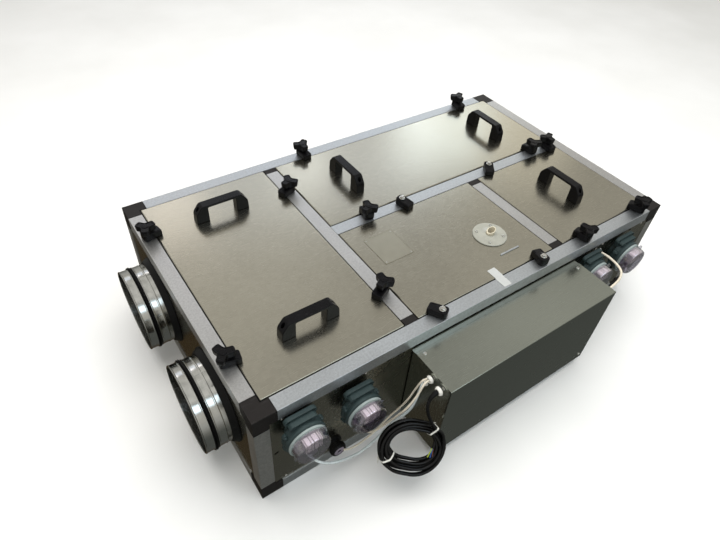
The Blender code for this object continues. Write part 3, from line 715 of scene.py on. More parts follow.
def coil_points():
    """The turns of the coil, from the one that the cord joins to the innermost one."""
    lanes = [(COIL_LANE, 60 - 45 * i) for i in range(8)] + [(0.0008, 0), (0.0008, 90)]
    places = [(radius * math.cos(math.radians(angle)), radius * math.sin(math.radians(angle)))
              for radius, angle in lanes]
    # the lower stretch of each lane is lifted towards the coil's middle, and spread sideways
    lifts = [0.0, 0.001, 0.004, 0.009, 0.014, 0.017, 0.012, 0.007, 0.008, 0.008]
    start = 0.030 - COIL_JOIN * COIL_BEND
    count = COIL_TURNS * COIL_STEPS - 5
    made = []
    for step in range(count + 1):
        share = step / COIL_STEPS
        turn = min(int(share), COIL_TURNS - 1)
        # each turn keeps its lane for two thirds of the way, then eases over to the next
        ease = min(1.0, max(0.0, (share - turn - 0.66) / 0.34))
        ease = ease * ease * (3 - 2 * ease)
        first, second = places[turn], places[turn + 1]
        out = first[0] + (second[0] - first[0]) * ease
        side = first[1] + (second[1] - first[1]) * ease
        lift = lifts[turn] + (lifts[turn + 1] - lifts[turn]) * ease
        wobble = 0.0006 * math.sin(7.3 * share + 1.9 * turn)
        place = hank(start + share * COIL_TURN_LENGTH, out + wobble, side - wobble)
        low = min(1.0, max(0.0, 0.5 - (place - COIL_CENTRE).dot(COIL_SHORT) / COIL_BEND / 2))
        made.append(place + (COIL_SHORT * lift + COIL_SIDE * side * 0.45) * low * low)
    last = start + count / COIL_STEPS * COIL_TURN_LENGTH
    return made + [hank(last + 0.012 * step, -0.0040 * step, 0.001 * step) for step in range(1, 5)]


def make_power_cord():
    radial = COIL_LONG * math.cos(COIL_JOIN) + COIL_SHORT * math.sin(COIL_JOIN)
    beside = radial * math.cos(COIL_MEETS) + COIL_SIDE * math.sin(COIL_MEETS)
    join = (COIL_CENTRE + COIL_LONG * COIL_STRAIGHT + radial * COIL_BEND
            + beside * (COIL_BUNDLE + CORD_RADIUS + GAP))
    exit_place = at(BOX_LEFT - GLAND_REACH - GAP, GLAND_Y, GLAND_Z)
    route = [exit_place] + [at(*knot) for knot in (
        (0.348, -0.101, 0.2537), (0.3375, -0.1022, 0.2480), (0.3300, -0.1055, 0.2350),
        (0.3283, -0.1110, 0.2180), (0.3315, -0.1195, 0.1980), (0.3380, -0.1310, 0.1775))]
    route += [join] + coil_points()
    points = smooth_path(route, 0.0035)
    cord = lead("power_cord_whole", points, CORD_RADIUS, SHEATH)
    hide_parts("power_cord", "power_cord_coil")

    gland = gland_shape(0.0125, GLAND_REACH - GAP, CORD_RADIUS + GAP)
    base = outward(-1, at(BOX_LEFT, GLAND_Y, GLAND_Z))
    power_gland = piece("power_cord_gland", put(gland, base @ Matrix.Translation((0, 0, GAP))),
                        WHITE, replaces=["power_gland"])
    tip = points[-1]
    heading = (points[-1] - points[-4]).normalized()
    aside = heading.cross(COIL_SIDE).normalized()
    for index, (name, finish) in enumerate((("brown", CORE_BROWN), ("blue", CORE_BLUE),
                                            ("green", CORE_GREEN))):
        lean = (index - 1) * 0.0019
        core = [tip - heading * 0.003 + aside * lean, tip + heading * 0.006 + aside * lean * 1.1,
                tip + heading * 0.014 + aside * lean * 2.2 + COIL_SIDE * 0.001,
                tip + heading * 0.021 + aside * lean * 3.0 + COIL_SIDE * 0.002]
        piece("power_core_" + name, pipe(smooth_path(core, 0.002), 0.0013, 10), finish)
    for name, place, aim, tail in (("cord_tie_upper", -0.064, 2.4, 0.010),
                                   ("cord_tie_lower", 0.146, 2.74, 0.016)):
        tie(name, points, place, aim, tail)
    sleeve = shell([hoop(points[:8], i, 0.0060 - 0.0003 * i) for i in range(8)])
    piece("power_cord_sleeve", sleeve, RUBBER)


def gland_shape(radius, reach, bore):
    """Cable gland on local Z: hexagon base, domed sealing nut with flats, and a bore."""
    hexagon = around(radius, 6)
    base = prism(eased(hexagon, 0.0015), 0.0, reach * 0.26, 0.0005)
    nut = prism(eased(scaled(hexagon, 0.90), 0.0016), reach * 0.26, reach * 0.60, 0.0005)
    dome = turned([(bore, reach * 0.58), (radius * 0.84, reach * 0.58),
                   (radius * 0.80, reach * 0.80), (radius * 0.62, reach), (bore, reach)],
                  0.0012, 40, closed=True)
    hole = lathe([(0, -0.001), (bore, -0.001), (bore, reach * 0.7), (0, reach * 0.7)], 24)
    return gather(carved(gather(base, nut), hole), dome)


# ---- casing ------------
def corner_shape():
    """Three-armed corner: a union of the cells of a small grid, measured inward."""
    lines = [[0.0, RAIL, CORNER_ARM], [0.0, RAIL, CORNER_ARM], [0.0, RAIL, CORNER_DROP]]
    filled = {(0, 0, 0), (1, 0, 0), (0, 1, 0), (0, 0, 1)}
    grid = bmesh.new()
    for cell in filled:
        for axis in range(3):
            for side in (0, 1):
                beside = list(cell)
                beside[axis] += 1 if side else -1
                if tuple(beside) in filled:
                    continue
                u, v = [a for a in range(3) if a != axis]
                corners = []
                for du, dv in ((0, 0), (1, 0), (1, 1), (0, 1)):
                    point = [0.0] * 3
                    point[axis] = lines[axis][cell[axis] + side]
                    point[u] = lines[u][cell[u] + du]
                    point[v] = lines[v][cell[v] + dv]
                    corners.append(grid.verts.new(point))
                grid.faces.new(corners)
    bmesh.ops.remove_doubles(grid, verts=grid.verts, dist=1e-6)
    bmesh.ops.recalc_face_normals(grid, faces=grid.faces)
    bmesh.ops.dissolve_limit(grid, angle_limit=0.01, verts=grid.verts, edges=grid.edges)
    bmesh.ops.bevel(grid, geom=list(grid.edges), offset=0.0011, segments=3, profile=0.5,
                    affect="EDGES", clamp_overlap=True)
    return grid


def section(axis, start, end, flip_u, flip_v):
    """One L-shaped rail along an axis; its outer corner lies on the casing's edge."""
    outline = [(0, 0), (RAIL, 0), (RAIL, RAIL_WALL), (RAIL_WALL, RAIL_WALL),
               (RAIL_WALL, RAIL), (0, RAIL)]
    outline = eased(outline, [0.0014, 0.0007, 0.0007, 0.001, 0.0007, 0.0007], steps=3)
    u, v = [a for a in range(3) if a != axis]
    size = (LENGTH, DEPTH, HEIGHT)
    rings = []
    for along in (start, end):
        ring = []
        for p, q in outline:
            point = [0.0] * 3
            point[axis] = along
            point[u] = size[u] - p if flip_u else p
            point[v] = size[v] - q if flip_v else q
            ring.append(at(*point))
        rings.append(ring)
    return shell(rings)


def make_casing():
    """Eight corner connectors, and the twelve rails that run between them."""
    corner = corner_shape()
    for level, top in (("bottom", False), ("top", True)):
        for side, right in (("left", False), ("right", True)):
            for row, back in (("front", False), ("back", True)):
                place = at(right * LENGTH, back * DEPTH, top * HEIGHT)
                flip = Matrix.Diagonal((-1 if right else 1, -1 if back else 1, -1 if top else 1, 1))
                taken = ["corner_connector_" + row + "_" + side] if top else []
                piece("_".join(("corner", level, row, side)),
                      put(corner.copy(), Matrix.Translation(place) @ flip), CORNER_BLACK, replaces=taken)
    corner.free()
    arms = (CORNER_ARM, CORNER_ARM, CORNER_DROP)
    size = (LENGTH, DEPTH, HEIGHT)
    taken = ["frame"]
    for axis in range(3):
        for flip_u in (False, True):
            for flip_v in (False, True):
                shape = section(axis, arms[axis] + GAP, size[axis] - arms[axis] - GAP, flip_u, flip_v)
                piece("rail_%s_%d%d" % ("xyz"[axis], flip_u, flip_v), shape, ALUMINIUM[axis],
                      replaces=taken)
                taken = []


def divider(name, axis, ends):
    """A flat bar with a black joint piece at each end that meets a rail."""
    low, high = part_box(name)
    joint = 0.018
    bar_low, bar_high = low.copy(), high.copy()
    for end in ends:
        plug_low, plug_high = low.copy(), high.copy()
        if end:
            plug_low[axis] = high[axis] - joint
            bar_high[axis] = high[axis] - joint - GAP
        else:
            plug_high[axis] = low[axis] + joint
            bar_low[axis] = low[axis] + joint + GAP
        piece(name + "_joint_%d" % end, box(plug_low, plug_high, 0.0009, 3), CORNER_BLACK)
    piece(name + "_bar", box(bar_low, bar_high, 0.0007, 2), ALUMINIUM[axis], replaces=[name])


def rectangle(low, high, inset, corner=0.0, steps=3):
    outline = [(low[0] + inset, low[1] + inset), (high[0] - inset, low[1] + inset),
               (high[0] - inset, high[1] - inset), (low[0] + inset, high[1] - inset)]
    if corner > 0:
        outline = eased(outline, corner, steps=steps)
    return [Vector(point) for point in outline]


def pan(size_x, size_y, depth, thick=SHEET, bend=0.0022, top=0.0):
    """A sheet folded down on four sides, seen face up: outer face at Z = top."""
    low, high = (-size_x / 2, -size_y / 2), (size_x / 2, size_y / 2)
    rings = []

    def ring(inset, z):
        rings.append([(p.x, p.y, z) for p in rectangle(low, high, inset, 0.0022)])

    ring(thick + bend * 0.5, top - thick)
    ring(thick, top - thick - bend * 0.5)
    ring(thick, top - depth)
    ring(0.0, top - depth)
    for step in range(6):
        angle = math.pi / 2 * step / 5
        ring(bend * (1 - math.cos(angle)), top - bend * (1 - math.sin(angle)))
    return shell(rings)


def gasket(name, low, high):
    """The rubber strip in the gap round a service panel."""
    rings = []
    for out, z in ((0.0027, -0.010), (0.0027, -0.0020), (0.0022, -0.0014), (0.0012, -0.0014),
                   (0.0009, -0.0012), (0.0009, -0.010)):
        rings.append([(p.x, p.y, CORNER.z + HEIGHT + z) for p in rectangle(low, high, -out, 0.003)])
    piece(name, shell(rings, closed=True), RUBBER)


def make_service_panels():
    for name in ("left", "back", "centre", "right"):
        low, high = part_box("service_panel_" + name)
        lap = 0.0014
        shape = pan(high.x - low.x + lap, high.y - low.y + lap, high.z - low.z)
        middle = Vector(((low.x + high.x) / 2, (low.y + high.y) / 2, high.z))
        put(shape, Matrix.Translation(middle))
        if name == "centre":
            hole = prism(around(DRAIN_HOLE, 40), -0.01, 0.01)
            shape = carved(shape, put(hole, Matrix.Translation(at(*DRAIN_PLACE, TOP))))
        piece("service_sheet_" + name, shape, TOP_SHEET, replaces=["service_panel_" + name], sharp=50)
        gasket("gasket_" + name, low, high)


DRAIN_PLACE = (0.725, 0.152)
SPIGOT_PLACES = {"front": 0.182, "back": 0.496}
SPIGOT_Z = 0.168
DRAIN_HOLE = 0.0165
DUCT_HOLE = 0.1006
PANEL_FOLD = 0.025
PANEL_INSET = 0.002


def slot_outline(length, width, steps=8):
    half = length / 2 - width / 2
    points = []
    for end in (1, -1):
        for i in range(steps + 1):
            angle = math.pi * (i / steps - 0.5) + (0 if end == 1 else math.pi)
            points.append((end * half + width / 2 * math.cos(angle), width / 2 * math.sin(angle)))
    return points


# The upright and bottom sheets take the darker side sheet, whose colour is painted shade.
def make_side_panels():
    rim = RAIL + GAP
    wide, deep, tall = LENGTH - 2 * rim, DEPTH - 2 * rim, HEIGHT - 2 * rim
    front = put(pan(wide, tall, PANEL_FOLD), outward(0, at(LENGTH / 2, PANEL_INSET, HEIGHT / 2)))
    slots = []
    for x, z, angle in ((0.043, 0.159, 20), (0.103, 0.278, 0), (1.116, 0.272, 0)):
        tool = put(prism(slot_outline(0.011, 0.006), -0.004, 0.004), about_z(angle))
        slots.append(put(tool, outward(0, at(x, PANEL_INSET, z))))
    piece("front_sheet", carved(front, *slots), SHADED_SIDE_SHEET, replaces=["front_panel"], sharp=50)
    back = outward(0, at(LENGTH / 2, DEPTH - PANEL_INSET, HEIGHT / 2), 1)
    piece("back_sheet", put(pan(wide, tall, PANEL_FOLD), back), SHADED_SIDE_SHEET,
          replaces=["back_panel"], sharp=50)
    down = Matrix.Translation(at(LENGTH / 2, DEPTH / 2, 0)) @ Matrix.Rotation(math.pi, 4, "X")
    piece("bottom_sheet", put(pan(wide, deep, PANEL_FOLD), down), SHADED_SIDE_SHEET,
          replaces=["bottom_panel"], sharp=50)
    for side, sign, x in (("left", -1, PANEL_INSET), ("right", 1, LENGTH - PANEL_INSET)):
        shape = put(pan(deep, tall, PANEL_FOLD), outward(sign, at(x, DEPTH / 2, HEIGHT / 2)))
        holes = [put(prism(around(DUCT_HOLE, 96), -0.03, 0.03), outward(sign, at(x, y, SPIGOT_Z)))
                 for y in SPIGOT_PLACES.values()]
        piece(side + "_sheet", carved(shape, *holes), SHADED_SIDE_SHEET,
              replaces=[side + "_panel"], sharp=50)


def make_side_rivets():
    """Rivets round the four upright panels, but none where the control box stands."""
    rivet = lathe(eased([(0.0030, 0.0), (0.0030, 0.0003), (0.0021, 0.0011), (0, 0.0014)],
                        0.0004, closed=False), 20)
    depth = PANEL_INSET - 0.0001
    low, high = 0.040, 0.273
    spots = []
    for x in (0.060, 0.250, 1.000, 1.165):
        for z in (low, high):
            spots.append(outward(0, at(x, depth, z)))
            if z == high or x < 0.1 or x > 1.1:
                spots.append(outward(0, at(x, DEPTH - depth, z), 1))
    for y in (0.052, 0.339, 0.648):
        for z in (low, high):
            spots += [outward(-1, at(depth, y, z)), outward(1, at(LENGTH - depth, y, z))]
    piece("side_rivets", gather(*[put(rivet.copy(), spot) for spot in spots]), ZINC)
    rivet.free()


# ---- duct spigots ------------
def make_spigots():
    tube_profile = [(0.0962, -0.012), (0.0962, 0.0675), (0.0958, 0.0688), (0.0962, 0.0697),
                    (0.0972, 0.0700), (0.0985, 0.0698), (0.0995, 0.0690), (0.0998, 0.0679),
                    (0.0990, 0.0671), (0.0985, 0.0662), (0.0984, 0.0535), (0.0991, 0.0522),
                    (0.0996, 0.0508), (0.0991, 0.0500), (0.0974, 0.0496), (0.0974, 0.0414),
                    (0.0991, 0.0410), (0.0996, 0.0402), (0.0991, 0.0388), (0.0984, 0.0375),
                    (0.0983, 0.0262), (0.0989, 0.0250), (0.0993, 0.0235), (0.0989, 0.0220),
                    (0.0983, 0.0208), (0.0983, -0.012)]
    lips = [(0.0975, 0.0416), (0.0975, 0.0494), (0.0992, 0.0494), (0.1014, 0.0500),
            (0.1022, 0.0494), (0.1000, 0.0476), (0.0999, 0.0464), (0.1018, 0.0462),
            (0.1022, 0.0454), (0.1000, 0.0438), (0.0997, 0.0424), (0.0990, 0.0416)]
    collar = [(0.0986, -0.0015), (0.1092, -0.0015), (0.1098, -0.0006), (0.1092, 0.0016),
              (0.1060, 0.0044), (0.1040, 0.0092), (0.1020, 0.0120), (0.0995, 0.0128), (0.0986, 0.0120)]
    for side, sign, x in (("left", -1, 0.0), ("right", 1, LENGTH)):
        for row, y in SPIGOT_PLACES.items():
            base = outward(sign, at(x, y, SPIGOT_Z))
            node = "duct_spigot_" + row + "_" + side
            name = row + "_" + side
            piece("spigot_tube_" + name, put(lathe(tube_profile, 128, True), base), DUCT_SHEET,
                  replaces=[node], sharp=55)
            seam = put(box((-0.0022, 0.0982, 0.002), (0.0022, 0.0990, 0.0372), 0.0003), base)
            piece("spigot_seam_" + name, seam, DUCT_SHEET)
            piece("spigot_seal_" + name, put(lathe(lips, 128, True), base), RUBBER, sharp=50)
            piece("spigot_collar_" + name, put(lathe(collar, 128, True), base), RUBBER, sharp=50)


# ---- handles and clamps ------------
HANDLES = {
    "left_back": (0.200, 0.556, 0), "left_front": (0.200, 0.140, 0),
    "back_left": (0.545, 0.522, 90), "back_right": (1.057, 0.522, 90), "right": (1.026, 0.190, 90),
}
HANDLE_SCREWS = (-0.0585, 0.0585)
KNOB_CLAMPS = {
    "left_front": (0.0165, 0.143, 350), "left_back": (0.0165, 0.559, 10),
    "divider_back": (0.3865, 0.552, 200), "divider_front": (0.3865, 0.138, 205),
    "back_left": (0.500, 0.6835, 275), "back_right": (1.085, 0.6835, 265),
    "cross_left": (0.505, 0.362, 80), "cross_right": (1.100, 0.362, 95),
    "cross_end": (1.160, 0.362, 265), "front_left": (0.925, 0.0165, 100),
    "front_right": (1.148, 0.0165, 110),
}
SCREW_CLAMPS = {
    "cross_left": (0.610, 0.362, 285), "cross_right": (0.920, 0.362, 235),
    "front_left": (0.452, 0.0165, 120), "front_right": (0.765, 0.0165, 75),
}


def handle_shape():
    outer = [(0.068, 0.0), (0.0665, 0.025), (0.0515, 0.045), (-0.0515, 0.045),
             (-0.0665, 0.025), (-0.068, 0.0)]
    inner = [(-0.036, 0.0), (-0.036, 0.039), (0.036, 0.039), (0.036, 0.0)]
    radii = [0.0, 0.006, 0.005, 0.005, 0.006, 0.0, 0.0, 0.0035, 0.0035, 0.0]
    body = prism(eased(outer + inner, radii, steps=5), -0.012, 0.012, 0.0016, 3)
    put(body, TO_FRONT)
    bores = [moved(lathe([(0, 0.006), (0.0044, 0.006), (0.0044, 0.05), (0, 0.05)], 32), x, 0, 0)
             for x in HANDLE_SCREWS]
    return carved(body, *bores)


def screw_head(radius, high):
    """A round screw head on local Z with a hexagon socket."""
    head = turned([(0, 0), (radius, 0), (radius, high * 0.7), (radius * 0.78, high), (0, high)],
                  [0, 0, radius * 0.1, radius * 0.2, 0], 32)
    return carved(head, prism(around(radius * 0.42, 6), high * 0.45, high + 0.01))


def make_handles():
    handle = mesh_of("handle", handle_shape(), BLACK, 32)
    heads = [moved(screw_head(0.0040, 0.0032), x, 0, 0.0061) for x in HANDLE_SCREWS]
    screws = mesh_of("handle_screws", gather(*heads), ZINC)
    for name, (x, y, angle) in HANDLES.items():
        place = Matrix.Translation(at(x, y, TOP + GAP)) @ about_z(angle)
        piece("grip_" + name, handle, BLACK, replaces=["handle_" + name], matrix=place)
        piece("grip_screws_" + name, screws, ZINC, matrix=place)


def knob_outline():
    """Three stubby arms with rounded ends and filleted roots."""
    arm, half = 0.0232, 0.0086
    points, radii = [], []
    for i in range(3):
        turn = math.tau * i / 3
        for x, y in ((arm - 0.0015, -half), (arm, -half * 0.5), (arm, half * 0.5),
                     (arm - 0.0015, half)):
            points.append((x * math.cos(turn) - y * math.sin(turn),
                           x * math.sin(turn) + y * math.cos(turn)))
            radii.append(0.0028)
        root = turn + math.pi / 3
        points.append((0.0104 * math.cos(root), 0.0104 * math.sin(root)))
        radii.append(0.0050)
    return eased(points, radii, steps=5)


def clamp_body():
    outline = [(-0.013, -0.0128), (0.0318, -0.0128), (0.0318, 0.0128), (-0.013, 0.0128)]
    outline = eased(outline, [0.009, 0.005, 0.005, 0.009], steps=6)
    block = prism(outline, 0.0018, 0.0198, 0.0018, 3)
    for vert in block.verts:
        if vert.co.x > 0.013 and vert.co.z > 0.010:
            vert.co.z -= (vert.co.x - 0.013) / 0.019 * 0.0050
    foot = turned([(0, GAP), (0.011, GAP), (0.011, 0.003), (0, 0.003)], [0, 0.0004, 0, 0], 40)
    ribs = [box((0.014, y, 0.016), (0.026, y + 0.0020, 0.0175), 0.0006) for y in (-0.0100, 0.0080)]
    return [block, foot] + ribs


def knob_shape():
    sizes = ((0.84, 0.0222), (0.90, 0.0224), (0.935, 0.0235), (0.96, 0.0270), (0.99, 0.0330),
             (1.0, 0.0350), (0.985, 0.0363), (0.945, 0.0373), (0.89, 0.0377), (0.80, 0.0374),
             (0.76, 0.0364), (0.70, 0.0362))
    rings = [[(p.x * size, p.y * size, z) for p in knob_outline()] for size, z in sizes]
    neck = turned([(0, 0.0195), (0.011, 0.0195), (0.0108, 0.0210), (0.0095, 0.0224),
                   (0, 0.0224)], [0, 0, 0.001, 0, 0], 40)
    crown = turned([(0, 0.0355), (0.0078, 0.0355), (0.0074, 0.0373), (0, 0.0376)],
                   [0, 0, 0.0006, 0], 32)
    return [shell(rings), neck, crown]


def make_clamps():
    knob = mesh_of("knob_clamp", gather(*clamp_body(), *knob_shape()), BLACK, 35)
    plain = mesh_of("screw_clamp", gather(*clamp_body()), BLACK, 35)
    washer = turned([(0.003, 0.0198), (0.0076, 0.0198), (0.0076, 0.0209), (0.003, 0.0211)],
                    [0, 0.0003, 0.0004, 0], 40, closed=True)
    head = prism(eased(around(0.0062, 6), 0.0009, steps=2), 0.0210, 0.0250, 0.0004)
    dome = turned([(0, 0.0249), (0.0052, 0.0249), (0.0042, 0.0257), (0, 0.0258)],
                  [0, 0, 0.0008, 0], 32)
    bolt = mesh_of("clamp_bolt", gather(washer, head, dome), ZINC, 35)
    for kind, places in (("knob_clamp_", KNOB_CLAMPS), ("screw_clamp_", SCREW_CLAMPS)):
        for name, (x, y, angle) in places.items():
            place = Matrix.Translation(at(x, y, HEIGHT)) @ about_z(angle)
            body = kind + name
            is_knob = kind == "knob_clamp_"
            piece("moulding_" + body, knob if is_knob else plain, BLACK, body, [body], place)
            if not is_knob:
                piece("metal_" + body, bolt, ZINC, body, matrix=place)


# ---- drain, plates and labels ------------
def make_drain():
    base = Matrix.Translation(at(*DRAIN_PLACE, TOP + GAP))
    flange = turned([(0.0103, 0.0), (0.043, 0.0), (0.043, 0.0016), (0.0415, 0.003),
                     (0.0250, 0.0030), (0.0165, 0.0040), (0.0103, 0.0048)],
                    [0, 0.0004, 0.0006, 0.0008, 0.001, 0.001, 0], 72, closed=True)
    piece("drain_plate", put(flange, base), FLANGE, replaces=["drain_flange"], sharp=45)
    hub = turned([(0.0078, -0.030), (0.0078, 0.0150), (0.0092, 0.0152), (0.0100, 0.0140),
                  (0.0101, 0.0062), (0.0101, -0.030)],
                 [0, 0.0005, 0.0006, 0.001, 0, 0], 64, closed=True)
    for vert in hub.verts:
        if vert.co.z > 0.010:
            vert.co.z += vert.co.x * 0.45
            vert.co.x += (vert.co.z - 0.010) * 0.35
    piece("drain_hub", put(hub, base), HUB, sharp=45)
    heads = []
    for i in range(4):
        angle = math.radians(45 + 90 * i)
        spot = base @ Matrix.Translation((0.033 * math.cos(angle), 0.033 * math.sin(angle), 0.0034))
        heads.append(put(screw_head(0.0036, 0.0020), spot))
    piece("drain_screws", gather(*heads), ZINC)


def make_plates():
    plate = box(at(0.442, 0.200, TOP + 0.0001), at(0.524, 0.293, TOP + 0.0006), 0.0002)
    edges = []
    for x0, y0, x1, y1 in ((0.442, 0.200, 0.524, 0.2009), (0.442, 0.2921, 0.524, 0.293),
                           (0.442, 0.200, 0.4429, 0.293), (0.5231, 0.200, 0.524, 0.293)):
        edges.append(box(at(x0, y0, TOP + 0.0005), at(x1, y1, TOP + 0.0009), 0.0001))
    piece("rating_plate", gather(plate, *edges), DULL_FILM)
    rivets = []
    for x in (0.447, 0.519):
        for y in (0.205, 0.288):
            head = turned([(0, 0), (0.0022, 0), (0.0016, 0.0010), (0, 0.0012)],
                          [0, 0.0003, 0.0004, 0], 20)
            rivets.append(put(head, Matrix.Translation(at(x, y, TOP + 0.0005))))
    piece("rating_plate_rivets", gather(*rivets), ZINC)
    line = [(0.004, HEIGHT + 0.0002), (0.0325, HEIGHT + 0.0002), (0.0362, TOP + 0.0002),
            (0.062, TOP + 0.0002)]
    rings = []
    for x in (0.630, 0.653):
        upper = [at(x, y, z + 0.00025) for y, z in line]
        lower = [at(x, y, z) for y, z in reversed(line)]
        rings.append(upper + lower)
    piece("side_label", shell(rings), FILM)
    bead = box(at(0.696, 0.0818, TOP), at(0.757, 0.0862, TOP + 0.0026), 0.0012, 3)
    piece("stiffening_bead", bead, ALUMINIUM[0])


# ---- pressure switches ------------
SWITCHES = {
    "left_outer": (0.091, 0.228), "left_inner": (0.225, 0.207),
    "right_inner": (0.945, 0.222), "right_outer": (1.078, 0.222),
}


def switch_body():
    foot = turned([(0, -0.0017), (0.030, -0.0017), (0.030, 0.0105), (0, 0.0105)],
                  [0, 0.001, 0, 0], 64)
    body = turned([(0, 0.010), (0.036, 0.010), (0.042, 0.0145), (0.044, 0.0150), (0.044, 0.0215),
                   (0.0425, 0.0225), (0.0425, 0.0290), (0.0435, 0.0300), (0.0435, 0.0345),
                   (0.0405, 0.0375), (0, 0.0375)],
                  [0, 0.002, 0.001, 0.0006, 0.0006, 0.0004, 0.0004, 0.0005, 0.001, 0.001, 0],
            96)
    parts = [foot, body]
    for angle in (28, 152, 208, 332):
        turn = about_z(angle)
        ear = prism(eased([(0.036, -0.0075), (0.0485, -0.0060), (0.0485, 0.0060), (0.036, 0.0075)],
                          [0, 0.0045, 0.0045, 0], steps=6), 0.016, 0.0235, 0.0009, 2)
        boss = moved(turned([(0, 0.0235), (0.0036, 0.0235), (0.0030, 0.0275), (0, 0.0275)],
                            [0, 0, 0.0006, 0], 24), 0.0440, 0, 0)
        parts += [put(ear, turn), put(boss, turn)]
    arm = prism(eased([(-0.030, 0.030), (-0.036, 0.050), (-0.028, 0.0565), (0.028, 0.0565),
                       (0.036, 0.050), (0.030, 0.030)], [0, 0.006, 0.005, 0.005, 0.006, 0], steps=5),
                0.0055, 0.0150, 0.0012, 2)
    rib = prism(eased([(-0.031, 0.0440), (-0.025, 0.0500), (0.025, 0.0500), (0.031, 0.0440),
                       (0.024, 0.0400), (-0.024, 0.0400)], 0.003, steps=4), 0.0140, 0.0270, 0.0010, 2)
    window = prism(eased([(-0.017, 0.0445), (0.017, 0.0445), (0.017, 0.0475), (-0.017, 0.0475)],
                         0.001, steps=3), 0.020, 0.040)
    slots = [moved(prism(slot_outline(0.009, 0.005), 0.0, 0.02), x, 0.0505, 0) for x in (-0.0265, 0.0265)]
    parts.append(carved(arm, *slots))
    parts.append(carved(rib, window))
    return gather(*parts)


def barb(x, y, z, length, radius):
    """A hose nipple pointing down, with two barbs."""
    line = [(0, 0), (radius, 0), (radius, length * 0.35), (radius * 1.30, length * 0.42),
            (radius, length * 0.60), (radius * 1.25, length * 0.68), (radius * 0.8, length),
            (0, length)]
    shape = lathe(line, 24)
    put(shape, TO_FRONT)
    return moved(shape, x, y, z)


def cap_shell():
    """The clear cap: a ribbed round wall with a rounded front, 1.2 mm thick."""
    steps = 96
    outer = [(0.0383, 0.0440), (0.0380, 0.0470), (0.0376, 0.0600), (0.0366, 0.0635),
             (0.0345, 0.0654), (0.0315, 0.0660), (0.0100, 0.0660), (0.0, 0.0660)]
    inner = [(0.0, 0.0648), (0.0310, 0.0648), (0.0338, 0.0642), (0.0354, 0.0625),
             (0.0364, 0.0590), (0.0369, 0.0440)]
    rings = []
    for radius, z in outer + inner:
        deep = 0.0004 if radius > 0.0355 and 0.045 < z < 0.064 else 0.0
        ring = []
        for i in range(steps):
            angle = math.tau * i / steps
            r = radius - deep * (1 if i % 4 < 2 else 0)
            ring.append((r * math.cos(angle), r * math.sin(angle), z))
        rings.append(ring if radius > 0 else [(0, 0, z)])
    lugs = []
    for angle in (45, 135, 225, 315):
        lug = prism(eased([(0.0370, -0.0085), (0.0455, -0.0062), (0.0455, 0.0062), (0.0370, 0.0085)],
                          [0, 0.0045, 0.0045, 0], steps=5), 0.0462, 0.0500, 0.0008)
        lugs.append(put(lug, about_z(angle)))
    return gather(shell(rings, closed=True), *lugs)


def switch_deck():
    """The deck behind the cap, with the setting dial in its lower half."""
    deck = turned([(0, 0.0376), (0.0352, 0.0376), (0.0352, 0.0440), (0.0330, 0.0452),
                   (0, 0.0452)], [0, 0, 0.0008, 0.0006, 0], 64)
    dial = moved(turned([(0, 0.045), (0.0105, 0.045), (0.0105, 0.0570), (0.0090, 0.0595),
                         (0, 0.0595)], [0, 0, 0.0006, 0.0008, 0], 40), 0.0, -0.0150, 0)
    pointer = box((-0.0011, -0.0235, 0.0590), (0.0011, -0.0065, 0.0606), 0.0004)
    core = box((-0.0185, -0.002, 0.045), (0.0185, 0.0262, 0.0615), 0.0012, 3)
    return gather(deck, dial, pointer, core)


def switch_bars():
    """Pale contact bars over the top and front of the block behind the cap."""
    bars = []
    for x, half in ((-0.0172, 0.0010), (-0.0105, 0.0042), (-0.0028, 0.0022), (0.0058, 0.0046),
                    (0.0140, 0.0010), (0.0176, 0.0008)):
        reach = min(0.0295, math.sqrt(0.0350 ** 2 - (abs(x) + half) ** 2) - 0.0006)
        bars.append(box((x - half, 0.0255, 0.0456), (x + half, reach, 0.0628), 0.0005))
        bars.append(box((x - half, 0.002, 0.0612), (x + half, reach - 0.001, 0.0630), 0.0005))
    return gather(*bars)


def switch_terminals():
    parts = []
    for x in (-0.0245, -0.0245 + 0.0065, 0.0180, 0.0245):
        parts.append(moved(screw_head(0.0026, 0.0040), x, -0.014, 0.0452))
    parts.append(box((-0.0255, 0.002, 0.0452), (-0.0195, 0.020, 0.0500), 0.0006))
    parts.append(box((0.0195, 0.002, 0.0452), (0.0255, 0.020, 0.0500), 0.0006))
    return gather(*parts)


def switch_ring():
    return turned([(0.0352, 0.0378), (0.0412, 0.0378), (0.0412, 0.0418), (0.0402, 0.0428),
                   (0.0386, 0.0428), (0.0386, 0.0438), (0.0352, 0.0438)],
                  [0, 0.0005, 0.0006, 0.0004, 0, 0, 0], 96, closed=True)


def make_switches():
    nipples = gather(*[barb(x, -0.040, 0.0190, 0.020, 0.0034) for x in (-0.012, 0.012)])
    below = Matrix.Translation((0.0, -0.0405, 0.0300)) @ TO_FRONT
    kinds = (("body", switch_body(), GREY, 35), ("ring", switch_ring(), PALE_GREY, 35),
             ("cap", cap_shell(), CLEAR, 30), ("deck", switch_deck(), DECK, 35),
             ("bars", switch_bars(), MECHANISM, 35), ("terminals", switch_terminals(), ZINC, 35),
             ("nipples", nipples, RUBBER, 35),
             ("gland", put(gland_shape(0.0085, 0.015, 0.003), below), PALE_GREY, 35))
    meshes = {kind: (mesh_of("switch_" + kind, shape, finish, sharp), finish)
              for kind, shape, finish, sharp in kinds}
    for name, (x, z) in SWITCHES.items():
        for kind, (mesh, finish) in meshes.items():
            taken = ["pressure_switch_" + name] if kind == "body" else []
            piece("switch_%s_%s" % (name, kind), mesh, finish, replaces=taken,
                  matrix=outward(0, at(x, 0, z)))


